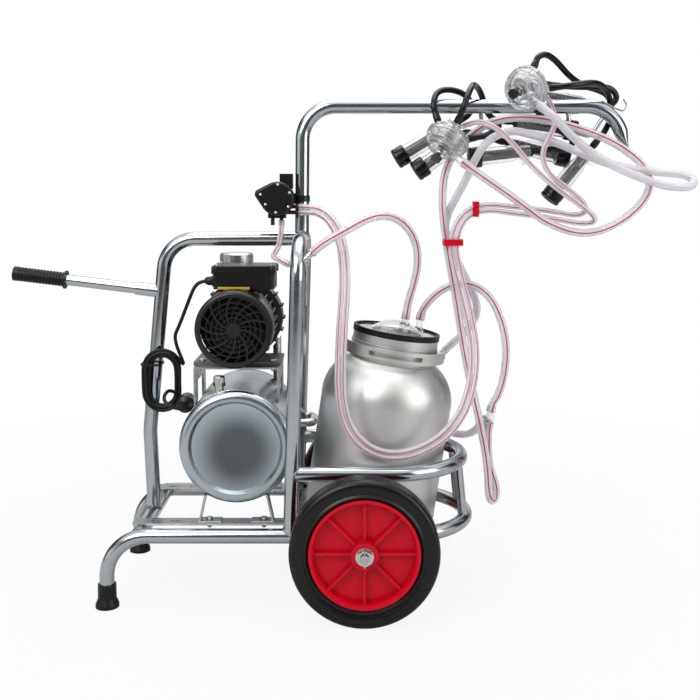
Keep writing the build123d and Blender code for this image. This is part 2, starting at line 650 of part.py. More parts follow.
# ---------------------------------------------------------------- electric motor
def make_motor():
    """The totally enclosed motor, its axis along Y."""
    axis = (0, 1, 0)
    body = cylinder(shaft_point(-motor_half), axis, motor_r, 2 * motor_half, 70)
    fin_length = 2 * motor_half - 6
    for i in range(motor_fin_count):
        turn = 360 / motor_fin_count * (i + 0.5)
        fin = Pos(motor_r - 1 + (motor_fin_r - motor_r + 1) / 2, 0, 0) * Box(motor_fin_r - motor_r + 1, fin_length, 2.6)
        body += Pos(*shaft_point(0)) * Rot(0, turn, 0) * fin
    long_x, long_y, thick = motor_feet
    foot_z = motor_z - shaft_height
    feet = box((motor_x - long_x / 2, motor_x + long_x / 2), (-long_y / 2, long_y / 2), (foot_z, foot_z + thick))
    block = box((motor_x - 52, motor_x + 52), (-50, 50), (foot_z + thick - 1, motor_z - 55))
    body = body + feet + block - cylinder(shaft_point(-80), axis, 70, 160)
    for x in (motor_x - motor_bolt[0], motor_x + motor_bolt[0]):
        for y in (-motor_bolt[1], motor_bolt[1]):
            body -= cylinder((x, y, foot_z - 5), (0, 0, 1), bolt_r + 0.3, 30)
    core = cylinder(shaft_point(-45), axis, 70 - run_gap, 90, stator_r)
    parts["motor_housing"] = group(body, core)

    shields, bearings = [], []
    inner = shield_y - bearing_width - 4
    for sign in (-1, 1):
        out = (0, sign, 0)
        disc = cylinder(shaft_point(sign * motor_half), out, shield_r, shield_y - motor_half, bearing_r + fit)
        neck = cylinder(shaft_point(sign * (inner - 4)), out, bearing_r + 8, motor_half - inner + 4, bearing_r + fit)
        lip = cylinder(shaft_point(sign * (shield_y - 4)), out, bearing_r + 1, 4, shaft_r + 2)
        shields.append(disc + neck + lip)
        bearings.append(cylinder(shaft_point(sign * inner), out, bearing_r, bearing_width, shaft_r + run_gap))
    parts["end_shields"] = group(*shields)
    parts["motor_bearings"] = group(*bearings)

    shaft = cylinder(shaft_point(cover_front + 14), axis, shaft_r, pump_end_y - 6 - cover_front - 14)
    shaft += cylinder(shaft_point(-45), axis, stator_r - rotor_air_gap, 90)
    shaft += cylinder(shaft_point(-inner + 3), axis, shaft_r + 4, 2 * (inner - 3))
    parts["rotor_shaft"] = shaft

    fan_rear, fan_front = -shield_y - 8, cover_front + 12
    depth = fan_rear - fan_front
    fan = cylinder(shaft_point(fan_front), axis, 20, depth, shaft_r) + cylinder(shaft_point(fan_rear - 3), axis, 44, 3, shaft_r)
    for i in range(9):
        blade = Pos(44, 0, 0) * Box(50, depth - 2, 2.5)
        fan += Pos(motor_x, (fan_front + fan_rear) / 2, motor_z) * Rot(0, 40 * i, 0) * blade
    parts["cooling_fan"] = fan - cylinder(shaft_point(fan_front - 1), axis, shaft_r, depth + 2)

    cover = cylinder(shaft_point(cover_front), axis, cover_r, cover_rear - cover_front)
    cover = fillet(cover.edges().group_by(Axis.Y)[0], 10)
    hollow = cylinder(shaft_point(cover_front + 3), axis, cover_r - cover_wall, cover_rear - cover_front)
    cover -= fillet(hollow.edges().group_by(Axis.Y)[0], 8)
    cover -= cylinder(shaft_point(cover_front - 1), axis, grille_r, 6)
    grille = cylinder(shaft_point(cover_front), axis, 15, 3)
    for r in grille_rings:
        grille += cylinder(shaft_point(cover_front), axis, r + 1.1, 3, r - 1.1)
    for i in range(2 * arm_count):
        half_wide = 2.0 if i % 2 == 0 else 1.0
        arm = Pos(arm_r, 0) * (Circle(arm_r + half_wide) - Circle(arm_r - half_wide))
        arm &= Pos(0, 50) * Rectangle(200, 100)
        arm &= Circle(grille_r + 1) - Circle(12)
        solid = extrude(Plane.XZ * arm, amount=-3)
        grille += Pos(*shaft_point(cover_front)) * Rot(0, 180 / arm_count * i, 0) * solid
    parts["fan_cover"] = cover + grille


def make_terminal_box():
    """The box on the motor with its lid, capacitor bulge, rocker switch and cable gland."""
    (x0, x1), (y0, y1), (z0, z1) = box_x, box_y, box_z
    skin = Pos(motor_x, 0, motor_z) * Rot(90, 0, 0) * Cylinder(motor_fin_r + 0.2, 400)
    cover_skin = cylinder((motor_x, cover_front, motor_z), (0, 1, 0), cover_r + 0.3, cover_rear - cover_front)
    shell = box(box_x, box_y, box_z)
    shell = fillet(shell.edges().filter_by(Axis.Z), 8)
    bulge = cylinder((capacitor_x, y0, capacitor_z), (0, 1, 0), capacitor_r, y1 - y0)
    neck = box((motor_x - 40, motor_x + 40), (-55, 20), (z0 - 8, z0))
    w = box_wall
    inside = box((x0 + w, x1 - w), (y0 + w, y1 - w), (z0 + w, z1 + 1))
    inside += cylinder((capacitor_x, y0 + w, capacitor_z), (0, 1, 0), capacitor_r - w, y1 - y0 - 2 * w)
    long_x, deep, high = switch_size
    g = switch_gap
    slot = box((switch_x - long_x / 2 - g, switch_x + long_x / 2 + g), (y1 - w - 1, y1 + 1),
               (switch_z - high / 2 - g, switch_z + high / 2 + g))
    pivot_y = y1 - w / 2
    pivot = cylinder((switch_x, pivot_y, switch_z - high / 2 - 2.5), (0, 0, 1), 1.05, high + 5)
    gland_hole = cylinder((x0 - 1, gland_y, gland_z), (1, 0, 0), 8 + fit, w + 2)
    body = shell + bulge + neck - inside - slot - pivot - gland_hole - skin - cover_skin
    parts["terminal_box"] = body

    lid = box((x0 - 2, x1 + 2), (y0 - 2, y1 + 2), (z1, z1 + lid_height))
    lid = fillet(lid.edges().filter_by(Axis.Z), 9)
    lid = chamfer(lid.faces().sort_by(Axis.Z)[-1].edges(), 2)
    lid -= box((x0 + w, x1 - w), (y0 + w, y1 - w), (z1 - 1, z1 + lid_height - w))
    screws = []
    for x in (x0 + 7, x1 - 7):
        for y in (y0 + 7, y1 - 7):
            lid -= cylinder((x, y, z1 + lid_height - 3), (0, 0, 1), 3.6, 4)
            screws.append(cylinder((x, y, z1 + lid_height - 3), (0, 0, 1), 3.5, 3.5))
    parts["terminal_lid"] = group(lid, *screws)

    rocker = box((switch_x - long_x / 2, switch_x + long_x / 2), (y1 - w - 3, y1 - w - 3 + deep - 4),
                 (switch_z - high / 2, switch_z + high / 2))
    wedge = box((switch_x - 30, switch_x + 30), (y1 + 2, y1 + 30), (switch_z - 30, switch_z + 30))
    rocker -= Pos(switch_x, y1 + 2, 0) * Rot(0, 0, 12) * Pos(-switch_x, -y1 - 2, 0) * wedge
    rocker -= Pos(switch_x, y1 + 2, 0) * Rot(0, 0, -12) * Pos(-switch_x, -y1 - 2, 0) * wedge
    rocker += cylinder((switch_x, pivot_y, switch_z - high / 2 - 2), (0, 0, 1), 1.0, high + 4)
    parts["power_switch"] = rocker

    out = (-1, 0, 0)
    gland = hexagon((x0 - 0.05, gland_y, gland_z), out, 22, 6)
    gland += cylinder((x0 + w, gland_y, gland_z), out, 8, w + 5)
    gland += turned([(0, 0), (10, 0), (10, 10), (6.5, 17), (0, 17)], along((x0 - 5, gland_y, gland_z), out))
    wide, long = tie_x[1] - tie_x[0], tie_y[1] - tie_y[0]
    loop = RectangleRounded(wide + 3, long + 3, 14) - RectangleRounded(wide, long, 12.5)
    tie = Pos(sum(tie_x) / 2, sum(tie_y) / 2, tie_z) * extrude(loop, amount=2.5, both=True)
    parts["cord_fittings"] = group(gland, tie)


# ---------------------------------------------------------------- vacuum pump
def make_pump(tank_skin):
    """A rotary vane pump flanged to the motor, overhung on its shaft."""
    axis = (0, 1, 0)
    depth = pump_end_y - shield_y
    body = cylinder(shaft_point(shield_y), axis, pump_r, depth)
    skin = cylinder(shaft_point(shield_y), axis, pump_fin_r + fit, pump_cover_y - shield_y)
    for i in range(pump_fin_count):
        fin = Pos((pump_r + pump_fin_r) / 2 - 1, 0, 0) * Box(pump_fin_r - pump_r + 2, depth - 8, 5)
        body += Pos(motor_x, shield_y + depth / 2, motor_z) * Rot(0, 360 / pump_fin_count * i, 0) * fin
    body -= cylinder((motor_x, shield_y + pump_wall, motor_z + pump_offset), axis, pump_bore_r, depth)
    body -= cylinder(shaft_point(shield_y - 1), axis, shaft_r + run_gap, depth)
    parts["pump_housing"] = body

    start = shield_y + pump_wall + 0.3
    length = pump_end_y - 0.3 - start
    rotor = cylinder(shaft_point(start), axis, pump_rotor_r, length, shaft_r)
    vanes = []
    deep, proud = 24.0, 0.2
    for i in range(vane_count):
        turn = Pos(motor_x, start + length / 2, motor_z) * Rot(0, 360 / vane_count * i, 0)
        rotor -= turn * Pos(pump_rotor_r - deep / 2 + 1, 0, 0) * Box(deep + 2, length + 2, vane_thick)
        vanes.append(turn * Pos(pump_rotor_r + proud - deep / 2, 0, 0) * Box(deep, length, vane_thick - 0.1))
    parts["pump_rotor"] = group(rotor, *vanes)

    cover = cylinder(shaft_point(pump_end_y), axis, pump_r, 6)
    cover += cylinder(shaft_point(pump_end_y), axis, 30, pump_cover_y - pump_end_y)
    for i in range(10):
        rib = Pos(58, 0, 0) * Box(62, pump_cover_y - pump_end_y - 2, 4)
        cover += Pos(motor_x, (pump_end_y + pump_cover_y) / 2 - 1, motor_z) * Rot(0, 36 * i + 18, 0) * rib
    screws = []
    for i in range(6):
        a = radians(60 * i)
        point = (motor_x + 78 * cos(a), pump_end_y + 6, motor_z + 78 * sin(a))
        screws.append(hexagon(point, axis, 10, 5))
    parts["pump_end_cover"] = group(cover, *screws)

    sx, sy = silencer_xy
    low, high = silencer_z
    drum = turned([(0, low), (silencer_r, low), (silencer_r, high - 4), (silencer_r - 4, high), (0, high), (0, high - 2),
                   (silencer_r - 5, high - 2), (silencer_r - 2, high - 5), (silencer_r - 2, low + 2), (0, low + 2)],
                  Plane((sx, sy, 0)))
    neck = cylinder((sx, sy, motor_z + 70), (0, 0, 1), 13, low - motor_z - 70)
    parts["pump_silencer"] = group(drum, neck - skin)

    inlet_x = tank_x + 74
    inlet = pipe(Line((inlet_x, 108, tank_z + 80), (inlet_x, 108, motor_z - 20)), 20, 3) - tank_skin - skin
    side_x, side_y = tank_x + tank_r, 96
    route = bent([(side_x - 12, side_y, tank_z), (side_x + 36, side_y, tank_z),
                  (side_x + 36, frame_half, tank_z), (column_at(tank_z) + weld_depth, frame_half, tank_z)], [18, 18])
    link = pipe(route, 20, 3) - tank_skin
    return [inlet, link]


def make_fittings(pipes, column_skin):
    """Vacuum pipes and the nipples on the column that the hoses are pushed on."""
    vac = along((column_at(722), -158, 722), vac_dir)
    nipple = vac * cylinder((0, 0, 0), (0, 0, 1), 6, 54)
    for z in (30, 36, 42, 48):
        nipple += vac * turned([(0, z), (7.2, z), (6, z + 4), (0, z + 4)])
    nipple += vac * cylinder((0, 0, 18), (0, 0, 1), 9, 6)
    supply = cylinder((column_at(718), -160, 718), feed_dir, 5, 30)
    inlet, link = pipes
    parts["vacuum_fittings"] = group(nipple - column_skin, supply - column_skin, inlet, link - column_skin)


# ---------------------------------------------------------------- pulsator
def make_pulsator(cane_skin):
    """The pulsator beside the cane: body with nipples and spool, cover with screws."""
    front, joint, back = pulsator_y
    x, z = pulsator_x, pulsator_z
    outline = make_hull([Pos(x + 8, -z) * Circle(pulsator_r).edge(), Pos(x - 30, -z - 10) * Circle(12).edge()])
    upright = Plane((0, 0, 0), x_dir=(1, 0, 0), z_dir=(0, 1, 0))
    body = Pos(0, joint, 0) * extrude(upright * outline, amount=back - joint)
    body += box((x + 12, x + 42), (-22, back), (z + 22, z + 56))
    body += box((x + 30, cane_at(z) - 4), (-12, back), (z - 12, z + 12))
    body += box((x - 14, x + 26), (-30, back), (z - 44, z - 26))
    body += cylinder((x - 4, -20, z - 60), (0, 0, 1), 4.5, 40)
    body += cylinder((x + 16, -20, z - 58), (0, 0, 1), 4.5, 40)
    for height in side_nipple_z:
        body += cylinder((x + 20, side_nipple_y, height), (1, 0, 0), 4.5, side_nipple_tip - x - 20)
    bore = cylinder((x - 26, -18, z), (1, 0, 0), spool_r, 52)
    body = body - bore - cane_skin
    band = cylinder((cane_at(z), 0, z - 7), (0, 0, 1), tube_d / 2 + 1.8, 14, tube_d / 2 + 0.2)
    parts["pulsator_body"] = group(body, band - body)
    cover = Pos(0, front, 0) * extrude(upright * outline, amount=joint - front)
    cover = fillet(cover.edges().group_by(Axis.Y)[0], 6)
    screws = []
    for dx, dz in cover_screws:
        point = (x + dx, front + 1.5, z + dz)
        cover -= cylinder((point[0], front - 1, point[2]), (0, 1, 0), 3.1, 2.5)
        screws.append(cylinder(point, (0, -1, 0), 3, 2.5))
    parts["pulsator_cover"] = group(cover, *screws)
    spool = cylinder((x - spool_length / 2, -18, z), (1, 0, 0), spool_r - run_gap, spool_length)
    spool -= cylinder((x - 5, -18, z), (1, 0, 0), spool_r + 1, 10, spool_r - 3)
    parts["pulsator_spool"] = spool


# ---------------------------------------------------------------- milk can
def can_place():
    """The plane of the can's bottom, on the two cradle bars."""
    slope = radians(can_tilt)
    bottom = strap_top - tan(slope) * (can_x - cradle_front_edge)
    up = Vector(sin(slope), 0, cos(slope))
    return Plane(Vector(can_x, 0, bottom) + up * 0.1, z_dir=up, x_dir=(cos(slope), 0, -sin(slope)))


def can_profile(inset):
    """Half of the can's section, as a face to the axis, shrunk by a wall."""
    r, neck, c = can_r - inset, can_neck_r - inset, can_corner - inset
    s = c * (1 - sqrt(0.5))
    top = can_height + (1 if inset else 0)
    z0 = inset
    mid_z = (can_straight + can_shoulder) / 2 + 14 - inset / 2
    mid_r = (can_r + can_neck_r) / 2 + 11 - inset
    return make_face([Line((0, z0), (r - c, z0)), ThreePointArc((r - c, z0), (r - s, z0 + s), (r, z0 + c)),
                      Line((r, z0 + c), (r, can_straight)),
                      ThreePointArc((r, can_straight), (mid_r, mid_z), (neck, can_shoulder)),
                      Line((neck, can_shoulder), (neck, top)), Line((neck, top), (0, top)), Line((0, top), (0, z0))])


def make_can():
    """The tilted can with its neck band, swing handle, gasket and clear domed lid."""
    place = can_place()
    solid = revolve(Plane.XZ * can_profile(0), Axis.Z)
    hollow = revolve(Plane.XZ * can_profile(can_wall), Axis.Z)
    parts["can_body"] = place * (solid - hollow)

    collar = turned([(can_neck_r + fit, bail_z - 16), (can_neck_r + 2, bail_z - 16), (can_neck_r + 2, bail_z + 16),
                     (can_neck_r + fit, bail_z + 16)])
    for sign in (-1, 1):
        start = can_neck_r + 1
        collar += cylinder((sign * start, 0, bail_z), (sign, 0, 0), bail_boss_r, bail_r - 0.4 - start)
        collar += cylinder((sign * (bail_r - 2), 0, bail_z), (sign, 0, 0), bail_pin_r - run_gap, 2 + bail_thick + 1.2)
        collar += cylinder((sign * (bail_r + bail_thick + 0.4), 0, bail_z), (sign, 0, 0), bail_pin_r + 2.5, 2)
    parts["can_collar"] = place * collar

    band = Pos(0, 0, bail_z) * (Cylinder(bail_r + bail_thick, bail_height) - Cylinder(bail_r, bail_height))
    band -= Pos(0, 100, bail_z) * Box(400, 200, 60)
    ear_half = bail_height / 2
    for sign in (-1, 1):
        ear = cylinder((sign * bail_r, 0, bail_z), (sign, 0, 0), ear_half, bail_thick)
        ear += Pos(sign * (bail_r + bail_thick / 2), -8, bail_z) * Box(bail_thick, 16, bail_height)
        band += ear
    for sign in (-1, 1):
        band -= cylinder((sign * (bail_r - 5), 0, bail_z), (sign, 0, 0), bail_pin_r, 20)
    band -= Pos(0, -bail_r, bail_z - 1) * Box(120, 40, 11)
    parts["can_handle"] = place * band

    low = can_height
    edge = lid_r + fit
    rest = low + 5
    mouth, seat_top = lid_r - 2, rest + lid_thick + fit
    gasket = turned([(gasket_bore_r, low), (gasket_r, low), (gasket_r, low + gasket_height), (mouth, low + gasket_height),
                     (mouth, seat_top), (edge, seat_top), (edge, rest - fit), (gasket_bore_r, rest - fit)])
    parts["lid_gasket"] = place * gasket
    top = low + gasket_height + dome_rise
    t = lid_thick
    rise = top - rest - t
    ball = (dome_r ** 2 + rise ** 2) / (2 * rise)
    mid = dome_r / 2
    sag = ball - sqrt(ball ** 2 - mid ** 2)
    edges = [Line((0, rest + rise), (0, rest + rise + t)),
             ThreePointArc((0, rest + rise + t), (mid, rest + rise + t - sag), (dome_r, rest + t)),
             Line((dome_r, rest + t), (lid_r, rest + t)), Line((lid_r, rest + t), (lid_r, rest)),
             Line((lid_r, rest), (dome_r, rest)),
             ThreePointArc((dome_r, rest), (mid, rest + rise - sag), (0, rest + rise))]
    lid = revolve(Plane.XZ * make_face(edges), Axis.Z)
    for x, y in lid_nipples:
        foot = rest + rise - (ball - sqrt(ball ** 2 - x * x - y * y)) + 1
        lid += cylinder((x, y, foot), (0, 0, 1), nipple_r, lid_nipple_top - foot)
        lid += cylinder((x, y, foot), (0, 0, 1), nipple_r + 3.5, 9)
        lid -= cylinder((x, y, foot - 10), (0, 0, 1), nipple_r - 2, lid_nipple_top - foot + 11)
    parts["can_lid"] = place * lid


# ---------------------------------------------------------------- milking clusters
class Claw:
    """A claw: clear bowl with its outlet, clear cover with four milk nipples, and shut-off button."""

    outlet_foot = Vector(12, 0, -24)
    outlet_way = Vector(1, 0, -0.35).normalized()

    def __init__(self, centre, axis, outlet, turn, pulse_ends):
        axis = Vector(*axis).normalized()
        outlet = Vector(*outlet)
        self.place = Plane(centre, z_dir=axis, x_dir=outlet - axis * outlet.dot(axis))
        self.turn = turn
        self.pulse_ends = [self.place.to_local_coords(Vector(*end)) for end in pulse_ends]

    def nipple_ray(self, i):
        """Foot and direction of a milk nipple, in the claw's own frame."""
        a, lean = radians(self.turn + 90 * i), radians(nipple_lean)
        return Vector(26 * cos(a), 26 * sin(a), 14), Vector(cos(a) * sin(lean), sin(a) * sin(lean), cos(lean))

    def nipple(self, i):
        """Tip of a milk nipple, in the machine's frame."""
        foot, out = self.nipple_ray(i)
        return self.place.from_local_coords(foot + out * 32)

    def nipple_stop(self, i):
        """Tip and direction of a milk nipple, in the machine's frame."""
        foot, out = self.nipple_ray(i)
        return self.nipple(i), self.nipple(i) - self.place.from_local_coords(foot)

    def outlet_stop(self):
        """Tip and direction of the outlet, in the machine's frame."""
        return self.outlet(), self.outlet(1) - self.outlet()

    def pulse_stop(self, k=0):
        """Tip and direction of a pulse nipple, in the machine's frame."""
        tip = self.place.from_local_coords(self.pulse_ends[k])
        return tip, tip - self.place.from_local_coords(Vector(0, 0, 29))

    def outlet(self, beyond=0):
        """Tip of the long milk hose's nipple, or a point beyond it, in the machine's frame."""
        return self.place.from_local_coords(self.outlet_foot + self.outlet_way * (outlet_reach + beyond))

    def solids(self):
        """Bowl, cover and button, in the machine's frame."""
        r, w = claw_r, claw_wall
        bowl = turned([(5, -42), (14, -42), (14, -38), (30, -34), (44, -20), (r, -6), (r + 2, -6), (r + 2, 0), (r - w, 0),
                       (r - w, -5), (41, -18), (28, -31), (10, -35), (10, -30), (5, -30)])
        spout = cylinder(self.outlet_foot, self.outlet_way, 8, outlet_reach)
        bowl += spout - turned([(0, -4), (r - w, -4), (r - w, -5), (41, -18), (28, -31), (0, -34)])
        bowl -= cylinder(self.outlet_foot, self.outlet_way, 5.5, outlet_reach + 5)
        cover = turned([(0, 0.1), (r + 2, 0.1), (r + 2, 5), (r - 6, 10), (34, 20), (16, 24), (16, 36), (0, 36), (0, 30),
                        (11, 30), (11, 21), (32, 16), (r - 8, 6), (r - w - 4, 3), (0, 3)])
        for i in range(4):
            foot, out = self.nipple_ray(i)
            cover += cylinder(foot, out, 6, 32)
            a = radians(self.turn + 45 + 90 * i)
            flat = Vector(cos(a), sin(a), 0)
            cover += cylinder(flat * 12 + Vector(0, 0, 32), flat, 3.2, 16)
        for end in self.pulse_ends:
            start = Vector(0, 0, 29)
            way = end - start
            cover += cylinder(start + way.normalized() * 8, way, 4.5, way.length - 8)
        stem = turned([(0, -60), (11, -60), (11, -50), (4.9, -50), (4.9, -22), (12, -22), (12, -19), (0, -19)])
        return [self.place * s for s in (bowl, cover, stem)]


class Cup:
    """A teat cup: clear shell, rubber liner with its mouth, and tail."""

    def __init__(self, head, way):
        self.way = Vector(*way).normalized()
        self.place = Plane(head, z_dir=self.way, x_dir=self.way.cross(Vector(0, 1, 0)))

    def tail(self):
        """The end of the liner's tail."""
        return self.place.from_local_coords(Vector(0, 0, cup_head + cup_shell + cup_tail))

    def solids(self):
        """Shell and liner, in the machine's frame."""
        h, s = cup_head, cup_shell
        waist = h + cup_waist
        liner = turned([(11, 0), (cup_head_r - 3, 0), (cup_head_r, 4), (cup_head_r, h - 4), (cup_head_r - 2, h),
                        (12.5, h), (12.5, h + s - 8), (cup_tail_r + 3, h + s), (cup_tail_r, h + s + 4),
                        (cup_tail_r, h + s + cup_tail), (4, h + s + cup_tail), (4, h + s - 6), (10, h + s - 14), (10, 6), (11, 4)])
        shell = turned([(cup_shell_r - 2, h + 0.1), (cup_shell_r, h + 0.1), (cup_shell_r, waist), (cup_tail_shell_r, waist + 12),
                        (cup_tail_shell_r, h + s - 2), (12.6, h + s - 2), (12.6, h + s - 6), (cup_tail_shell_r - 2, h + s - 8),
                        (cup_tail_shell_r - 2, waist + 13), (cup_shell_r - 2, waist + 1)])
        shell += cylinder((0, -14, waist + 22), (0, -1, 0.3), 3.2, 18) - turned([(0, h), (cup_tail_shell_r - 1, h), (cup_tail_shell_r - 1, h + s), (0, h + s)])
        return [self.place * shell, self.place * liner]


def make_clusters():
    """Claws and teat cups of both clusters, with the short tubes between them."""
    claws = [Claw(*place) for place in claw_places]
    cups = [Cup(*place) for place in cup_places]
    bowls, covers, shells, liners = [], [], [], []
    for i, claw in enumerate(claws, 1):
        bowl, cover, button = claw.solids()
        bowls.append(bowl)
        covers.append(cover)
        parts[f"valve_button_{i}"] = button
    for cup in cups:
        shell, liner = cup.solids()
        shells.append(shell)
        liners.append(liner)
    parts["claw_bowls"] = group(*bowls)
    parts["claw_covers"] = group(*covers)
    parts["teat_shells"] = group(*shells)
    parts["teat_liners"] = group(*liners)
    tubes = []
    for c, i, points, k in short_runs:
        stops = [claws[c].nipple_stop(i), (cups[k].tail(), cups[k].way)]
        tubes.append(hose([claws[c].nipple(i), *points, cups[k].tail()], short_tube_d, stops))
    parts["short_tubes"] = group(*tubes)
    return claws


# ---------------------------------------------------------------- hoses
def beside(points, gap):
    """Points moved sideways in XZ, to the left of the way they run."""
    moved = []
    for i, (x, y, z) in enumerate(points):
        before, after = points[max(i - 1, 0)], points[min(i + 1, len(points) - 1)]
        dx, dz = after[0] - before[0], after[2] - before[2]
        moved.append((x - gap * dz / hypot(dx, dz), y, z + gap * dx / hypot(dx, dz)))
    return moved


def make_hoses(claws):
    """Vacuum, milk, pulse and supply hoses, the branch piece and the clips that bundle them."""
    can = can_place()
    tips = [can.from_local_coords(Vector(x, y, lid_nipple_top)) for x, y in lid_nipples]
    vac_tip = Vector(column_at(722), -158, 722) + Vector(*vac_dir).normalized() * 54
    lid_stops = [(tip, can.z_dir) for tip in tips]
    parts["vacuum_hose"] = hose([vac_tip, *vacuum_run, tips[0]], hose_d, [(vac_tip, vac_dir), lid_stops[0]])
    outlets = [claw.outlet() for claw in claws]
    runs = [[tips[1], *lid_run, branch_ends[0]],
            [branch_ends[1], *milk_run_1, claws[0].outlet(50), outlets[0]],
            [branch_ends[2], *milk_run_2, outlets[1]]]
    arms = [(end, Vector(*end) - Vector(*branch)) for end in branch_ends]
    ends = [[lid_stops[1], arms[0]], [arms[1], claws[0].outlet_stop()], [arms[2], claws[1].outlet_stop()]]
    milk = [hose(run, hose_d, stops) for run, stops in zip(runs, ends)]
    parts["milk_hoses"] = group(*milk)

    high, low = side_nipple_z
    first = [(side_nipple_tip, side_nipple_y, low), *pulse_run_1]
    second = [(side_nipple_tip, side_nipple_y, high), *beside(first, twin_gap)[1:]]
    pulse_1 = [*first, *pulse_tail_1, claw_places[0][4][0]]
    pulse_2 = [*second, *pulse_tail_2, claw_places[1][4][0]]
    feed_tip = Vector(column_at(718), -160, 718) + Vector(*feed_dir).normalized() * 30
    feed = [(pulsator_x + 16, -20, pulsator_z - 58), *supply_run, feed_tip]
    right, down = (1, 0, 0), (0, 0, -1)
    pulse_ends = [[(pulse_1[0], right), claws[0].pulse_stop()], [(pulse_2[0], right), claws[1].pulse_stop()],
                  [(feed[0], down), (feed_tip, feed_dir)]]
    parts["pulse_hoses"] = group(*[hose(run, twin_d, stops) for run, stops in zip((pulse_1, pulse_2, feed), pulse_ends)])

    fork = Sphere(11)
    bores = Sphere(8.5)
    for end in branch_ends:
        way = Vector(*end) - Vector(*branch)
        fork += cylinder((0, 0, 0), way, 8, way.length)
        bores += cylinder((0, 0, 0), way, 5.5, way.length + 5)
    parts["y_connector"] = Pos(*branch) * (fork - bores)

    clips = []
    for limits, near in zip(clip_boxes, ((pulse_1, pulse_2, runs[1]), (pulse_1, pulse_2))):
        clip = box(*limits)
        clip = fillet(clip.edges().filter_by(Axis.Z), 3)
        for run in near:
            d = hose_d if run is runs[1] else twin_d
            clip -= hose(run, d + 2 * fit)
        clips.append(clip)
    parts["hose_clips"] = group(*clips)


def make_cord():
    """The power cord: lead, coil, tail and plug."""
    gland_tip = (box_x[0] - 22, gland_y, gland_z)
    plug_tip = (plug_x, plug_y[0], plug_z)
    lead = hose([gland_tip, *cord_lead], cord_d, [(gland_tip, (-1, 0, 0))])
    tail = hose([plug_tip, *cord_tail], cord_d, [(plug_tip, (0, -1, 0))])
    parts["power_cord"] = group(lead, tail)

    half = coil_straight / 2
    ring = Wire([Line((coil_r, -half), (coil_r, half)), ThreePointArc((coil_r, half), (0, half + coil_r), (-coil_r, half)),
                 Line((-coil_r, half), (-coil_r, -half)),
                 ThreePointArc((-coil_r, -half), (0, -half - coil_r), (coil_r, -half))])
    face = Plane(origin=(coil_r, 0, 0), z_dir=(0, 1, 0)) * Circle(coil_bundle_r)
    upright = Plane(coil_centre, x_dir=(1, 0, 0), z_dir=(0, -1, 0))
    parts["cord_coil"] = upright * sweep(face, path=ring)

    front, shoulder, back = plug_y
    body = turned([(0, front), (7, front), (9, shoulder - 4), (plug_r - 2, shoulder), (plug_r, shoulder + 3),
                   (plug_r, back - 2), (plug_r - 2, back), (0, back)],
                  Plane((plug_x, 0, plug_z), z_dir=(0, 1, 0), x_dir=(1, 0, 0)))
    for x in (-9.5, 9.5):
        body += cylinder((plug_x + x, back - 1, plug_z), (0, 1, 0), 2.4, 20)
    parts["power_plug"] = body


# ---------------------------------------------------------------- build
base_skin, column_skin, hoop_skin = make_frame()
cane_skin = make_cane(column_skin, hoop_skin)
make_bars(column_skin, base_skin)
make_feet()
make_wheels()
make_handle(hoop_skin)
tank_skin = make_tank()
make_motor()
make_terminal_box()
pipes = make_pump(tank_skin)
make_fittings(pipes, column_skin)
make_pulsator(cane_skin)
make_can()
make_hoses(make_clusters())
make_cord()

os.makedirs("parts", exist_ok=True)
for name, shape in parts.items():
    export_step(Pos(0, 0, -floor_z) * shape, f"parts/{name}.step")
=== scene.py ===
"""Looks of the wheeled bucket milking machine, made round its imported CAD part.

X runs from the push handle to the can, Y across and Z up. The scene is in metres over the floor. The places in the
constants are in millimetres over the base plane, which lies RISE over the floor.
"""

from __future__ import annotations

import json
import logging
import math
from dataclasses import dataclass
from typing import Callable, Iterable, Sequence

import bmesh
import bpy
from mathutils import Matrix, Vector

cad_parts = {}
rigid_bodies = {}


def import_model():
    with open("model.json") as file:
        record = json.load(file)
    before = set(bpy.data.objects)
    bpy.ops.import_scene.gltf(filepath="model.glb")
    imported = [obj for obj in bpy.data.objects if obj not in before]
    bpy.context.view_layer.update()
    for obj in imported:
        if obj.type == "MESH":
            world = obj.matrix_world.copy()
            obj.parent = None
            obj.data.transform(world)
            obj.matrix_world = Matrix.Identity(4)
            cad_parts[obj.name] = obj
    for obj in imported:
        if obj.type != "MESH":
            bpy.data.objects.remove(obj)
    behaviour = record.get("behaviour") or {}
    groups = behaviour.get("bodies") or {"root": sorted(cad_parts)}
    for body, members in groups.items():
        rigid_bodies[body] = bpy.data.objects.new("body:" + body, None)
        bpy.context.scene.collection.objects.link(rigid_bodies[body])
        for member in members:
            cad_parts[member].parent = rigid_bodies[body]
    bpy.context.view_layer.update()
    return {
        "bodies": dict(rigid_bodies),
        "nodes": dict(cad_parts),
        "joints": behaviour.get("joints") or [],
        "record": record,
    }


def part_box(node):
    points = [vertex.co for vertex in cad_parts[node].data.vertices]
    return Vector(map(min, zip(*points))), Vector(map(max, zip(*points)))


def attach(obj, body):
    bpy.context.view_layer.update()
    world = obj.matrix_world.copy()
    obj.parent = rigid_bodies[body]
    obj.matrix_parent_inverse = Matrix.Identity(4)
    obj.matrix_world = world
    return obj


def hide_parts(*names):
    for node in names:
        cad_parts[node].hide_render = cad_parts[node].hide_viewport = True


Point = Sequence[float]
Ray = tuple[Vector, Vector]
Size = float | Callable[[float], float]
Socket = bpy.types.NodeSocket
Tree = bpy.types.NodeTree
Ring = Sequence[bmesh.types.BMVert]

log = logging.getLogger("milking_machine")
MM = 0.001
WHITE = (1, 1, 1, 1)


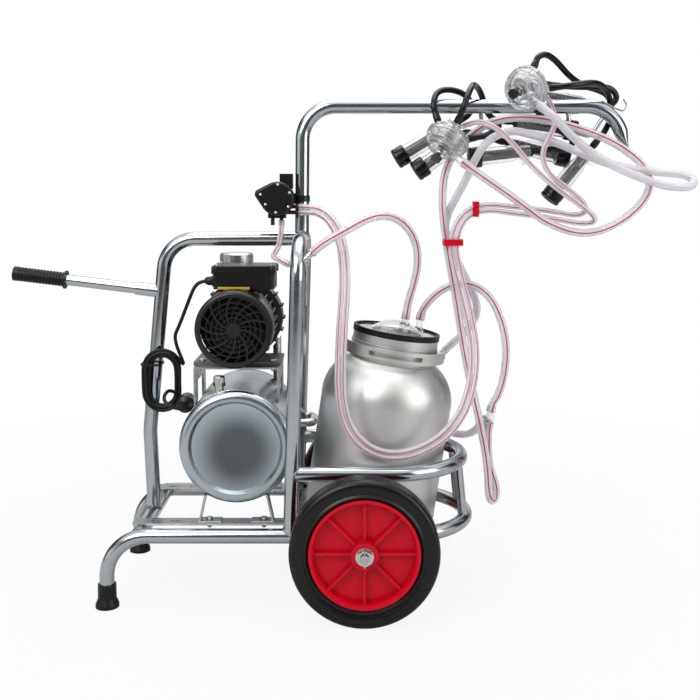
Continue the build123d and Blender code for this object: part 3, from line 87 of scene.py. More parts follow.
# ---- finishes
@dataclass(frozen=True)
class Finish:
    """What a surface looks like.

    Args:
        name: The material's name.
        color: Linear base colour.
        second: Colour that the grain mixes in.
        amount: How much of the second colour the grain may mix in.
        metallic: Metallic share.
        roughness: Middle roughness.
        spread: How far the grain moves the roughness.
        scale: Grain cells in a metre.
        stretch: Factors on the grain's scale along X, Y and Z.
        bump: Strength of the grain's relief.
        rounding: Radius in metres that edges seem to have.
        transmission: Share of light let through.
        ior: Index of refraction.
        specular: Level of the mirror reflection of what isn't metal.
        painted_shade_middle: Middle (x, z) of a patch of painted shade in metres, which stands in for a dark
            reflection, or nothing.
    """

    name: str
    color: Point
    second: Point = (0.0, 0.0, 0.0)
    amount: float = 0.15
    metallic: float = 0.0
    roughness: float = 0.4
    spread: float = 0.08
    scale: float = 120.0
    stretch: Point = (1.0, 1.0, 1.0)
    bump: float = 0.05
    rounding: float = 0.0006
    transmission: float = 0.0
    ior: float = 1.45
    specular: float = 0.5
    # Where a patch of painted shade sits, in place of a dark reflection.
    painted_shade_middle: Point = ()


FINISH_LIST = (
    Finish("bright_zinc", (0.44, 0.47, 0.49), (0.34, 0.37, 0.39), 0.20, 1.0, 0.16, 0.06, 50, bump=0.008),
    Finish("zinc_bar", (0.50, 0.51, 0.51), (0.34, 0.35, 0.35), 0.35, 1.0, 0.30, 0.12, 90, bump=0.03),
    Finish("zinc_fixing", (0.62, 0.62, 0.58), (0.40, 0.38, 0.32), 0.40, 1.0, 0.22, 0.10, 300, bump=0.03),
    Finish("weld_bead", (0.30, 0.31, 0.31), (0.16, 0.155, 0.14), 0.60, 1.0, 0.40, 0.15, 400, bump=0.25),
    Finish("galvanised", (0.44, 0.49, 0.52), (0.36, 0.40, 0.43), 0.25, 1.0, 0.22, 0.06, 14, bump=0.006),
    # The tank's zinc carries painted shade on its pressed ends, in place of their dark reflection.
    Finish("painted_shade_zinc", (0.44, 0.49, 0.52), (0.36, 0.40, 0.43), 0.25, 1.0, 0.26, 0.06, 14, bump=0.006,
           painted_shade_middle=(-0.174, 0.336)),
    Finish("stainless", (0.62, 0.615, 0.60), (0.50, 0.495, 0.48), 0.30, 1.0, 0.43, 0.05, 30, (1, 1, 30), bump=0.015),
    Finish("cast_aluminium", (0.20, 0.21, 0.215), (0.12, 0.125, 0.13), 0.50, 0.85, 0.44, 0.10, 260, bump=0.12),
    Finish("pump_enamel", (0.032, 0.035, 0.038), (0.018, 0.018, 0.018), 0.30, 0.0, 0.38, 0.10, 200, bump=0.10,
           specular=0.35),
    Finish("silver_enamel", (0.58, 0.58, 0.57), (0.46, 0.46, 0.45), 0.30, 0.9, 0.26, 0.06, 160, bump=0.03),
    Finish("black_enamel", (0.010, 0.010, 0.010), (0.020, 0.019, 0.018), 0.35, 0.0, 0.30, 0.08, 420, specular=0.40),
    Finish("black_plastic", (0.005, 0.005, 0.005), (0.011, 0.010, 0.010), 0.35, 0.0, 0.30, 0.08, 500, specular=0.40),
    Finish("black_rubber", (0.004, 0.004, 0.004), (0.009, 0.009, 0.008), 0.40, 0.0, 0.40, 0.10, 260, specular=0.30),
    Finish("gloss_rubber", (0.003, 0.003, 0.003), (0.006, 0.006, 0.006), 0.30, 0.0, 0.22, 0.06, 140, bump=0.01,
           specular=0.40),
    Finish("tyre_rubber", (0.003, 0.003, 0.003), (0.008, 0.007, 0.006), 0.40, 0.0, 0.30, 0.08, 160, bump=0.03,
           specular=0.35),
    Finish("red_plastic", (0.52, 0.0015, 0.013), (0.40, 0.001, 0.010), 0.30, 0.0, 0.26, 0.06, 60, bump=0.015,
           specular=0.20),
    Finish("steel", (0.50, 0.50, 0.50), (0.34, 0.34, 0.34), 0.30, 1.0, 0.28, 0.08, 200, bump=0.02),
    Finish("cream_plastic", (0.74, 0.73, 0.66), (0.60, 0.58, 0.50), 0.20, 0.0, 0.30, 0.05, 200),
    Finish("yellow_strip", (0.50, 0.34, 0.03), (0.36, 0.24, 0.02), 0.25, 0.0, 0.36, 0.05, 200),
    Finish("clear_plastic", (0.95, 0.955, 0.965), (0.90, 0.90, 0.92), 0.20, 0.0, 0.03, 0.01, 60, bump=0.0,
           transmission=0.95, ior=1.40),
    Finish("ridge_plastic", (0.88, 0.88, 0.89), (0.80, 0.80, 0.82), 0.20, 0.0, 0.04, 0.01, 60, bump=0.0,
           transmission=0.95, ior=1.55),
    Finish("clear_hose", (0.86, 0.845, 0.88), (0.81, 0.795, 0.84), 0.25, 0.0, 0.10, 0.02, 40, bump=0.0,
           transmission=0.67, ior=1.25),
    Finish("red_stripe", (0.44, 0.012, 0.035), (0.34, 0.01, 0.025), 0.20, 0.0, 0.24, 0.05, 90, specular=0.3),
    Finish("cord_sheath", (0.008, 0.008, 0.008), (0.016, 0.016, 0.016), 0.30, 0.0, 0.40, 0.08, 300, bump=0.03,
           specular=0.25),
)
FINISHES = {finish.name: finish for finish in FINISH_LIST}

NODE_FINISH = {
    "bright_zinc": "base_tube column_hoop guard_rail cross_tubes front_hoop cane_tube handle_tube handle_socket "
    "stub_axles",
    "zinc_bar": "support_bars tank_legs motor_saddle",
    "zinc_fixing": "frame_bolts axle_hardware vacuum_fittings vacuum_regulator",
    "painted_shade_zinc": "vacuum_tank",
    "stainless": "can_body can_collar can_handle",
    "cast_aluminium": "motor_housing",
    "pump_enamel": "pump_housing pump_end_cover",
    "silver_enamel": "pump_silencer",
    "black_enamel": "fan_cover",
    "black_plastic": "terminal_box terminal_lid power_switch cord_fittings power_plug cooling_fan pulsator_cover "
    "valve_button_1 valve_button_2 pulsator_body end_shields",
    "black_rubber": "rubber_feet handle_grip lid_gasket",
    "gloss_rubber": "teat_liners short_tubes",
    "tyre_rubber": "left_tyre right_tyre",
    "red_plastic": "left_rim right_rim hose_clips",
    "steel": "rotor_shaft motor_bearings pump_rotor",
    "cream_plastic": "pulsator_spool",
    "clear_plastic": "can_lid claw_bowls claw_covers teat_shells y_connector",
    "clear_hose": "vacuum_hose milk_hoses pulse_hoses",
    "cord_sheath": "power_cord cord_coil",
}


def fill(tree: Tree, target: bpy.types.Node, inputs: dict) -> None:
    """Sets a node's inputs.

    Args:
        tree: The node's tree.
        target: The node.
        inputs: What each input takes: a value, an output, or a node for its first output.
    """
    for key, given in inputs.items():
        if isinstance(given, bpy.types.Node):
            given = given.outputs[0]
        if isinstance(given, Socket):
            tree.links.new(given, target.inputs[key])
        else:
            target.inputs[key].default_value = given


def node(tree: Tree, kind: str, inputs: dict | None = None, **settings: object) -> bpy.types.Node:
    """A new shader node of a kind, with its properties set first and then its inputs, as fill takes them."""
    made = tree.nodes.new(f"ShaderNode{kind}")
    for key, value in settings.items():
        setattr(made, key, value)
    fill(tree, made, inputs or {})
    return made


def blend(tree: Tree, kind: str, share: object, first: object, second: object, **settings: object) -> Socket:
    """The mix of two colours (kind RGBA) or two vectors (kind VECTOR)."""
    a, b, out = {"VECTOR": (4, 5, 1), "RGBA": (6, 7, 2)}[kind]
    return node(tree, "Mix", {0: share, a: first, b: second}, data_type=kind, **settings).outputs[out]


def fade(tree: Tree, value: object, span: Point, ends: Point = (0.0, 1.0), **settings: object) -> bpy.types.Node:
    """A value that goes from one end to the other while another one crosses a span."""
    inputs = {"Value": value, "From Min": span[0], "From Max": span[1], "To Min": ends[0], "To Max": ends[1]}
    return node(tree, "MapRange", inputs, **settings)


def off_axis(tree: Tree, axis: Point) -> Socket:
    """Distance from the line along Y through (x, z)."""
    place = node(tree, "TexCoord").outputs["Object"]
    flat = node(tree, "VectorMath", {0: place, 1: (1, 0, 1)}, operation="MULTIPLY")
    return node(tree, "VectorMath", {0: flat, 1: (axis[0], 0, axis[1])}, operation="DISTANCE").outputs["Value"]


def plain_material(name: str) -> tuple[bpy.types.Material, Tree, bpy.types.Node]:
    """A new material, its tree and its surface node."""
    material = bpy.data.materials.new(name)
    material.use_nodes = True
    tree = material.node_tree
    return material, tree, next(n for n in tree.nodes if n.type == "BSDF_PRINCIPLED")


class Materials:
    """Makes each finish's material once, on a shared grain group."""

    GRAIN_INPUTS = {
        "Colour": "Color", "Second": "Color", "Amount": "Float", "Roughness": "Float", "Spread": "Float",
        "Scale": "Float", "Bump": "Float", "Rounding": "Float", "Stretch": "Vector",
    }
    GRAIN_OUTPUTS = {"Colour": "Color", "Roughness": "Float", "Normal": "Vector"}
    GRAIN_DETAIL = 5.0
    GRAIN_RANGE = (0.3, 0.7)
    RELIEF_DEPTH = 0.0006
    # In metres: where the patch of painted shade starts and stops to fade, the tank's (x, z) and its flat middle's
    # radius.
    PAINTED_SHADE_REACH = (0.040, 0.112)
    TANK_AXIS = (-0.179, 0.344)
    FLAT_MIDDLE = 0.0193
    # Colour of the painted shade at its middle.
    PAINTED_SHADE_COLOUR = (0.115, 0.13, 0.145, 1)

    def __init__(self) -> None:
        self.grain = self.grain_group()
        self.made: dict[str, bpy.types.Material] = {}

    def get(self, name: str) -> bpy.types.Material:
        """The material of a finish.

        Args:
            name: A key of FINISHES.

        Returns:
            The material.
        """
        if name not in self.made:
            self.made[name] = self.build(FINISHES[name])
        return self.made[name]

    def grain_group(self) -> Tree:
        """The group that turns a place on the object into a finish's colour, roughness and normal.

        Returns:
            The node group.
        """
        tree = bpy.data.node_groups.new("grain", "ShaderNodeTree")
        for way, sockets in (("INPUT", self.GRAIN_INPUTS), ("OUTPUT", self.GRAIN_OUTPUTS)):
            for name, kind in sockets.items():
                tree.interface.new_socket(name, in_out=way, socket_type=f"NodeSocket{kind}")
        given, result = tree.nodes.new("NodeGroupInput").outputs, tree.nodes.new("NodeGroupOutput")
        place = node(tree, "TexCoord").outputs["Object"]
        stretched = node(tree, "VectorMath", {0: place, 1: given["Stretch"]}, operation="MULTIPLY")
        fine = node(tree, "TexNoise", {"Detail": self.GRAIN_DETAIL, "Vector": stretched, "Scale": given["Scale"]})
        ramp = fade(tree, fine, self.GRAIN_RANGE)
        share = node(tree, "Math", {0: ramp, 1: given["Amount"]}, operation="MULTIPLY")
        centred = node(tree, "Math", {0: ramp, 1: 0.5}, operation="SUBTRACT")
        rough = node(tree, "Math", {0: centred, 1: given["Spread"], 2: given["Roughness"]}, operation="MULTIPLY_ADD",
                     use_clamp=True)
        edge = node(tree, "Bevel", {"Radius": given["Rounding"]}, samples=4)
        relief = node(tree, "Bump", {"Distance": self.RELIEF_DEPTH, "Strength": given["Bump"], "Height": fine,
                                     "Normal": edge})
        colour = blend(tree, "RGBA", share, given["Colour"], given["Second"])
        fill(tree, result, {"Colour": colour, "Roughness": rough, "Normal": relief})
        return tree

    def paint_shade(self, tree: Tree, grain: bpy.types.Node, middle: Point) -> dict[str, Socket]:
        """Paints shade on the tank's pressed ends round a middle, in place of their dark reflection, and shades their
        very middle by its faces.

        Args:
            tree: The tree that gets the nodes.
            grain: The finish's grain.
            middle: (x, z) of the painted shade.

        Returns:
            The surface's new colour and normal.
        """
        # 0 in the painted shade, 1 outside it.
        clear = fade(tree, off_axis(tree, middle), self.PAINTED_SHADE_REACH, interpolation_type="SMOOTHSTEP")
        inside = node(tree, "Math", {0: off_axis(tree, self.TANK_AXIS), 1: self.FLAT_MIDDLE}, operation="LESS_THAN")
        face = node(tree, "NewGeometry").outputs["True Normal"]
        return {
            "Base Color": blend(tree, "RGBA", clear, self.PAINTED_SHADE_COLOUR, grain.outputs["Colour"]),
            "Normal": blend(tree, "VECTOR", inside, grain.outputs["Normal"], face),
        }

    def build(self, finish: Finish) -> bpy.types.Material:
        """A node material for a finish."""
        material, tree, shader = plain_material(finish.name)
        grain = node(tree, "Group", {
            "Colour": (*finish.color, 1.0), "Second": (*finish.second, 1.0), "Amount": finish.amount,
            "Roughness": finish.roughness, "Spread": finish.spread, "Scale": finish.scale, "Bump": finish.bump,
            "Rounding": finish.rounding, "Stretch": finish.stretch,
        }, node_tree=self.grain)
        surface = {
            "Base Color": grain.outputs["Colour"], "Roughness": grain.outputs["Roughness"],
            "Normal": grain.outputs["Normal"], "Metallic": finish.metallic, "IOR": finish.ior,
            "Transmission Weight": finish.transmission, "Specular IOR Level": finish.specular,
        }
        # Painted shade on the tank's ends, where the finish has it.
        if finish.painted_shade_middle:
            surface.update(self.paint_shade(tree, grain, finish.painted_shade_middle))
        fill(tree, shader, surface)
        return material


# ---- lines and meshes
# Steps between two control points of a line, and how close together two of its points may not be.
LINE_STEPS = 6
SAME_PLACE = 0.4 * MM
# Sine of the angle to Y below which a line counts as along it, and how strongly a hose's stripe turns to the front.
ALONG = 0.1
STRIPE_TURN = 0.35


def smooth_line(points: Sequence[Point]) -> list[Vector]:
    """Points along the NURBS spline that the control points pull.

    Args:
        points: Control points; the line starts and ends on the first and last.

    Returns:
        The points in order, with no two of them together.
    """
    curve = bpy.data.curves.new("route", "CURVE")
    curve.dimensions = "3D"
    curve.resolution_u = LINE_STEPS
    spline = curve.splines.new("NURBS")
    spline.points.add(len(points) - 1)
    for knot, point in zip(spline.points, points):
        knot.co = (*point, 1.0)
    spline.order_u = 3
    spline.use_endpoint_u = True
    guide = bpy.data.objects.new("route", curve)
    mesh = bpy.data.meshes.new_from_object(guide)
    line = [vertex.co.copy() for vertex in mesh.vertices]
    bpy.data.objects.remove(guide)
    bpy.data.curves.remove(curve)
    bpy.data.meshes.remove(mesh)
    kept = line[:1]
    for point in line[1:]:
        if (point - kept[-1]).length > SAME_PLACE:
            kept.append(point)
    return kept


def line_length(line: Sequence[Vector]) -> float:
    """Length of a line of points."""
    return sum((b - a).length for a, b in zip(line, line[1:]))


def line_frames(line: Sequence[Vector], closed: bool, front: float) -> list[Ray]:
    """Two sideways directions at each point of a line, turning as little as the line does.

    Args:
        line: Points of the line.
        closed: Whether it comes back to its start.
        front: How much the second direction leans towards the front of the object at each point.

    Returns:
        The two directions at each point.
    """
    count = len(line)
    ways = []
    for i in range(count):
        a = line[(i - 1) % count] if closed or i else line[0]
        b = line[(i + 1) % count] if closed or i < count - 1 else line[-1]
        ways.append((b - a).normalized())
    side = ways[0].cross(Vector((0, 1, 0)))
    if side.length < ALONG:
        side = ways[0].cross(Vector((1, 0, 0)))
    frames = []
    for way in ways:
        side = (side - way * side.dot(way)).normalized()
        ahead = Vector((0, -1, 0)) + way * way.y
        up = (way.cross(side) + ahead * front).normalized()
        side = up.cross(way)
        frames.append((side, up))
    return frames


class Shape:
    """A mesh under construction."""

    def __init__(self) -> None:
        self.bm = bmesh.new()

    def ring(self, centre: Vector, frame: Ray, radius: float, sides: int) -> Ring:
        """Vertices round a point."""
        side, up = frame
        angles = [i * (2 * math.pi / sides) for i in range(sides)]
        return [self.bm.verts.new(centre + (side * math.cos(a) + up * math.sin(a)) * radius) for a in angles]

    def skin(self, rings: Sequence[Ring], closed: bool, stripe: Sequence[int] = (), inward: bool = False) -> None:
        """Faces between rings, those of the stripe in the second material."""
        pairs = list(zip(rings, rings[1:]))
        if closed:
            pairs.append((rings[-1], rings[0]))
        for a, b in pairs:
            for i, face in enumerate(self.strip(a, b, inward)):
                face.smooth = True
                face.material_index = 1 if i in stripe else 0

    def strip(self, a: Ring, b: Ring, inward: bool) -> list[bmesh.types.BMFace]:
        """Faces between two rings."""
        faces = []
        for i in range(len(a)):
            j = (i + 1) % len(a)
            corners = (a[i], a[j], b[j], b[i])
            faces.append(self.bm.faces.new(corners[::-1] if inward else corners))
        return faces

    def tube(
        self,
        line: Sequence[Vector],
        radius: Size,
        bore: Size = 0.0,
        sides: int = 16,
        stripe: Sequence[int] = (),
        closed: bool = False,
    ) -> None:
        """A round rod, or a tube when it has a bore.

        Args:
            line: Points of the centreline.
            radius: Outer radius, or a function of the distance from the nearer end.
            bore: Inner radius, the same way; 0 makes a rod.
            sides: Faces round it.
            stripe: Numbers of the faces that are in the second material.
            closed: Whether the line comes back to its start.
        """
        total, gone, ends = line_length(line), 0.0, []
        for i, p in enumerate(line):
            gone += (p - line[i - 1]).length if i else 0.0
            ends.append(min(gone, total - gone))
        frames = line_frames(line, closed, STRIPE_TURN if stripe else 0.0)
        outer, inner = (
            [self.ring(p, f, size(e) if callable(size) else size, sides) for p, f, e in zip(line, frames, ends)]
            if size else [] for size in (radius, bore)
        )
        self.skin(outer, closed, stripe)
        if inner:
            self.skin(inner, closed, (), True)
            self.strip(outer[0], inner[0], True)
            self.strip(outer[-1], inner[-1], False)
        elif not closed:
            self.bm.faces.new(outer[0][::-1])
            self.bm.faces.new(outer[-1])

    def turned(self, profile: Sequence[Point], place: Matrix, steps: int = 64) -> None:
        """A solid of revolution.

        Args:
            profile: Closed outline as (radius, height) pairs in millimetres, no two of them the same.
            place: Where its axis Z goes, in metres.
            steps: Faces round it.
        """
        axis = place.to_3x3() @ Vector((0, 0, 1))
        start = [self.bm.verts.new(place @ Vector((r * MM, 0, z * MM))) for r, z in profile]
        edges = [self.bm.edges.new((a, b)) for a, b in zip(start, start[1:] + start[:1])]
        bmesh.ops.spin(
            self.bm, geom=start + edges, cent=place.translation, axis=axis, dvec=(0, 0, 0), angle=2 * math.pi,
            steps=steps, use_merge=True, use_duplicate=False,
        )

    def box(self, low: Point, high: Point, bevel: float) -> None:
        """A block between two corners in metres, with rounded edges."""
        size = [b - a for a, b in zip(low, high)]
        middle = Vector([(a + b) / 2 for a, b in zip(low, high)])
        place = Matrix.Translation(middle) @ Matrix.Diagonal((*size, 1))
        made = bmesh.ops.create_cube(self.bm, size=1.0, matrix=place)
        edges = {e for v in made["verts"] for e in v.link_edges}
        bmesh.ops.bevel(self.bm, geom=list(edges), offset=bevel, segments=2, profile=0.5, affect="EDGES", material=-1)

    def finish(self, name: str, materials: Iterable[bpy.types.Material], smooth: float | None) -> bpy.types.Object:
        """The object made of this mesh.

        Args:
            name: Piece's name.
            materials: Its materials, by slot.
            smooth: Edges below this angle in degrees look smooth; None leaves the faces as they are.

        Returns:
            The object, at the origin.
        """
        bmesh.ops.recalc_face_normals(self.bm, faces=self.bm.faces)
        mesh = bpy.data.meshes.new(name)
        if smooth is not None:
            for face in self.bm.faces:
                face.smooth = True
            for edge in self.bm.edges:
                if len(edge.link_faces) == 2:
                    edge.smooth = edge.calc_face_angle(0.0) < math.radians(smooth)
        self.bm.to_mesh(mesh)
        self.bm.free()
        for material in materials:
            mesh.materials.append(material)
        obj = bpy.data.objects.new(name, mesh)
        bpy.context.scene.collection.objects.link(obj)
        return obj


def axis_place(point: Point, way: Point) -> Matrix:
    """The matrix that moves the origin to a point and turns Z along a direction."""
    turn = Vector(way).normalized().to_track_quat("Z", "Y").to_matrix().to_4x4()
    return Matrix.Translation(Vector(point)) @ turn


# ---- places shared with the CAD part, in millimetres
# Height of the base plane over the floor; CAN_PLACE alone is in metres over the floor.
RISE = Vector((0, 0, 20))
CAN_PLACE = Matrix.Translation((0.1150148, 0, 0.1383489)) @ Matrix.Rotation(math.atan2(36, 240), 4, "Y")
LID_NIPPLES = ((14, -22, 474), (50, 6, 474))
# Foot, direction and length of the two nipples on the tank's fittings.
VACUUM_NIPPLE = ((-40.53, -158, 722), (0.72, 0, 0.69), 54)
SUPPLY_NIPPLE = ((-40.65, -160, 718), (-0.9, 0.1, 0.43), 30)
SUPPLY_PORT = (-84, -20, 808)
PULSE_PORTS = ((-36, -26, 835), (-36, -26, 848))
PULSE_GAP = 13
BRANCH = (391, -30, 366)
BRANCH_ENDS = ((395, -30, 392), (388.6, -30, 342), (377, -8, 352))
GLAND = (-256, -40, 681)
PLUG = (-298.4, -98, 407)
COIL = (-358, -27, 451)
# Centre, axis, way of the outlet, turn of the first nipple in degrees and tip of the pulse nipple.
CLAWS = (
    ((288, -56, 998), (0.5, 0.35, 0.79), (0.55, -0.54, -0.64), 21, (331, -62, 1030)),
    ((458, -78, 1106), (0.64, 0.72, 0.26), (0.9, -0.3, -0.45), 67, (503, -56, 1092)),
)
# Mouth and direction of each teat cup.
CUPS = (
    ((176, 46, 955), (0.857, 0, 0.515)),
    ((220, 20, 926), (0.83, 0, 0.56)),
    ((342, 22, 958), (0.994, 0, 0.11)),
    ((528, 22, 862), (0.63, 0, 0.777)),
    ((585, 72, 960), (-0.97, 0, 0.24)),
    ((600, 60, 1022), (-0.99, 0, 0.14)),
    ((470, 62, 1112), (0.985, 0, -0.17)),
    ((475, 112, 1104), (0.985, 0, -0.17)),
)
# Claw, nipple and cup of each short tube, and the points that pull it.
SHORT_RUNS = (
    (0, 2, 0, [
        (256, -37, 1077), (266, -13, 1107), (300, 18, 1115), (338, 40, 1105), (356, 46, 1078), (345, 46, 1057),
    ]),
    (0, 0, 1, [
        (374, -44, 1006), (400, -25, 1020), (412, 5, 1034), (402, 20, 1042), (384, 20, 1037),
    ]),
    (0, 1, 4, [
        (310, 32, 1016), (340, 58, 1022), (375, 70, 1014), (393, 72, 1007),
    ]),
    (0, 3, 5, [
        (322, -98, 1078), (337, -68, 1112), (352, -20, 1122), (372, 25, 1105), (385, 52, 1070), (402, 60, 1050),
    ]),
    (1, 0, 2, [
        (494, -24, 1057), (516, -16, 1036), (545, 4, 1020), (569, 14, 1012), (582, 20, 998), (578, 22, 982),
        (560, 22, 975), (539, 22, 980),
    ]),
    (1, 3, 3, [
        (560, -86, 1114), (605, -60, 1122), (640, -15, 1120), (665, 20, 1096), (672, 32, 1052), (655, 23, 1018),
    ]),
    (1, 1, 6, [
        (440, 0, 1129), (455, 18, 1136), (500, 24, 1130), (570, 24, 1120), (645, 44, 1122), (672, 54, 1122),
        (689, 58, 1108), (690, 62, 1092), (672, 62, 1078),
    ]),
    (1, 2, 7, [
        (484, -63, 1178), (505, -45, 1186), (535, -12, 1174), (575, 40, 1146), (620, 84, 1128), (655, 104, 1122),
        (680, 110, 1112), (691, 112, 1094), (686, 112, 1077), (668, 112, 1071),
    ]),
)
VACUUM_RUN = [
    (24, -157, 778), (60, -153, 797), (103, -142, 822), (147, -125, 833), (189, -98, 815), (217, -75, 774),
    (224, -55, 724), (216, -38, 676), (205, -27, 638),
]
LID_RUN = [
    (247, -5, 625), (269, -15, 651), (304, -25, 672), (346, -30, 675), (387, -30, 648), (414, -30, 596),
    (428, -30, 535), (425, -30, 472), (412, -30, 420),
]
MILK_RUN_1 = [
    (387, -32, 299), (392, -30, 249), (406, -28, 212), (408, -34, 188), (399, -50, 176), (388, -68, 186),
    (384, -74, 210), (382, -72, 258), (374, -66, 315), (360, -58, 384), (341, -44, 465), (326, -36, 546),
    (312, -38, 637), (295, -42, 723), (282, -44, 806), (277, -40, 867), (283, -24, 920), (300, -8, 958),
    (326, -10, 992), (360, -20, 1022), (392, -38, 1040), (440, -47, 1047), (516, -48, 1040), (626, -52, 1007),
    (702, -58, 962), (738, -62, 915), (731, -62, 868), (676, -68, 815), (590, -86, 784), (500, -102, 812),
    (438, -116, 860),
]
MILK_RUN_2 = [
    (368, 20, 325), (350, 70, 300), (318, 130, 290), (285, 168, 310), (262, 172, 360), (250, 158, 430), (285, 115, 480),
    (312, 80, 518), (344, 50, 551), (369, 20, 599), (357, 0, 645), (328, -10, 698), (298, -15, 760), (284, -16, 806),
    (300, -28, 852), (326, -50, 900), (345, -70, 950), (372, -80, 995), (420, -80, 1017), (467, -78, 1008),
    (533, -76, 986), (640, -74, 940), (742, -70, 925), (800, -76, 921), (822, -84, 912), (822, -100, 897),
    (800, -108, 889), (736, -110, 897), (619, -118, 945), (545, -148, 995), (503, -168, 1036),
]
PULSE_RUN = [
    (4, -45, 833), (33, -75, 805), (51, -105, 754), (54, -135, 680), (48, -160, 604), (44, -172, 521), (44, -178, 446),
    (56, -180, 386), (84, -180, 343), (126, -178, 315), (181, -176, 308), (240, -172, 326), (289, -165, 359),
    (325, -150, 408), (345, -130, 466), (352, -105, 531), (344, -85, 594), (330, -75, 653), (317, -70, 707),
    (305, -68, 760), (315, -66, 805), (338, -64, 832), (378, -65, 842),
]
PULSE_TAIL_1 = [
    (434, -66, 834), (516, -60, 824), (582, -60, 810), (614, -76, 814), (604, -98, 832), (533, -114, 878),
    (467, -116, 931), (426, -116, 982), (390, -102, 1020), (356, -79, 1036),
]
PULSE_TAIL_2 = [
    (436, -66, 848), (518, -60, 839), (572, -56, 828), (594, -72, 836), (584, -94, 858), (545, -104, 889),
    (508, -104, 915), (490, -102, 945), (491, -100, 976), (508, -96, 1006), (521, -86, 1032), (516, -69, 1066),
]
SUPPLY_RUN = [(-85, -32, 784), (-88, -75, 756), (-96, -125, 745), (-90, -154, 741)]
LEAD = [(-278, -41, 674), (-295, -42, 632), (-315, -42, 580), (-330, -40, 550)]
TAIL = [(-333, -70, 440), (-340, -106, 434), (-334, -136, 424), (-312, -141, 412), (-298.4, -122, 406)]


def metres(points: Iterable[Point]) -> list[Vector]:
    """Points over the base plane, in millimetres, as vectors over the floor in metres."""
    return [(Vector(p) + RISE) * MM for p in points]


def beside(points: Sequence[Point], gap: float) -> list[Point]:
    """Points moved sideways in XZ, to the left of the way they run."""
    moved = []
    for i, (x, y, z) in enumerate(points):
        a, b = points[max(i - 1, 0)], points[min(i + 1, len(points) - 1)]
        dx, dz = b[0] - a[0], b[2] - a[2]
        moved.append((x - gap * dz / math.hypot(dx, dz), y, z + gap * dx / math.hypot(dx, dz)))
    return moved


@dataclass
class Parts:
    """Pieces of one kind, finished in the same way.

    Args:
        materials: Where the finishes come from.
    """

    materials: Materials

    def piece(
        self,
        shape: Shape,
        name: str,
        finishes: str,
        slot: str,
        nodes: Sequence[str] = (),
        body: str = "machine",
        smooth: float | None = 35.0,
    ) -> bpy.types.Object:
        """Finishes a piece.

        Args:
            shape: Its mesh.
            name: Its name.
            finishes: Names of its finishes, by slot.
            slot: Material slot of the record; not used.
            nodes: CAD nodes that it stands for.
            body: Body that it rides on.
            smooth: Edges below this angle in degrees look smooth; None leaves the faces as they are.

        Returns:
            The object.
        """
        made = shape.finish(name, [self.materials.get(finish) for finish in finishes.split()], smooth)
        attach(made, body)
        if nodes:
            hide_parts(*nodes)
        log.info("%s", name)
        return made


@dataclass
class Claw:
    """Where a claw's nipples are.

    Args:
        centre: Its middle.
        axis: Its axis, towards the cover.
        way: Roughly which way its outlet points.
        turn: Angle of its first milk nipple in degrees.
        tip: Tip of its pulse nipple.
        lean: Degrees between a milk nipple and the axis.
        foot: Radius and height of a milk nipple's foot.
        reach: Length of a milk nipple.
        outlet_way: Direction of the outlet in the claw.
        outlet_foot: Foot of the outlet in the claw.
        outlet_reach: Length of the outlet.
        cover: Height at which the pulse nipple starts.
    """

    centre: Point
    axis: Point
    way: Point
    turn: float
    tip: Point
    lean: float = 48
    foot: Point = (26, 14)
    reach: float = 32
    outlet_way: Point = (1, 0, -0.35)
    outlet_foot: Point = (12, 0, -24)
    outlet_reach: float = 64
    cover: float = 29

    def __post_init__(self) -> None:
        z = Vector(self.axis).normalized()
        x = (Vector(self.way) - z * Vector(self.way).dot(z)).normalized()
        self.place = Matrix.Translation(Vector(self.centre)) @ Matrix((x, z.cross(x), z)).transposed().to_4x4()

    def nipple(self, i: int) -> Ray:
        """Tip and direction of a milk nipple, in millimetres."""
        a, lean = math.radians(self.turn + 90 * i), math.radians(self.lean)
        out = Vector((math.cos(a) * math.sin(lean), math.sin(a) * math.sin(lean), math.cos(lean)))
        r, height = self.foot
        foot = Vector((r * math.cos(a), r * math.sin(a), height))
        return self.place @ (foot + out * self.reach), self.place.to_3x3() @ out

    def outlet(self) -> Ray:
        """Tip and direction of the outlet."""
        way = Vector(self.outlet_way).normalized()
        return self.place @ (Vector(self.outlet_foot) + way * self.outlet_reach), self.place.to_3x3() @ way

    def pulse(self) -> Ray:
        """Tip and direction of the pulse nipple."""
        tip = Vector(self.tip)
        return tip, (tip - self.place @ Vector((0, 0, self.cover))).normalized()


# ---- hoses and the cord
@dataclass(frozen=True)
class HoseSize:
    """A size of hose, in millimetres.

    Args:
        d: Outer diameter.
        wall: Its wall.
        lap: How far it goes over a nipple.
        straight: How far it stays straight beyond a nipple.
    """

    d: float
    wall: float
    lap: float
    straight: float = 5.0

    def line(self, start: Ray, points: Sequence[Point], end: Ray) -> list[Vector]:
        """Line of a hose whose ends are pushed over two nipples.

        Args:
            start: Tip and outward direction of the first nipple, in millimetres.
            points: Control points between.
            end: Tip and outward direction of the last nipple.

        Returns:
            The line in metres.
        """
        (a, u), (b, v) = [(Vector(p), Vector(w).normalized()) for p, w in (start, end)]
        first, last = (a - u * self.lap, a + u * self.straight), (b + v * self.straight, b - v * self.lap)
        return smooth_line(metres([*first, *points, *last]))


WIDE = HoseSize(18.0, 2.4, 13.0)
TWIN = HoseSize(12.0, 1.9, 9.0)
SHORT = HoseSize(14.0, 2.5, 14.0, 4.0)


def nipple_tip(foot: Point, way: Point, length: float) -> Ray:
    """Tip and direction of a nipple, in millimetres."""
    out = Vector(way).normalized()
    return Vector(foot) + out * length, out


def flare(low: float, high: float, grip: float = 18, slope: float = 5) -> Callable[[float], float]:
    """A radius that is larger over the nipples at a tube's ends, in millimetres in and metres out."""
    return lambda gone: MM * (low + (high - low) * max(0.0, min(1.0, (grip * MM - gone) / (slope * MM))))


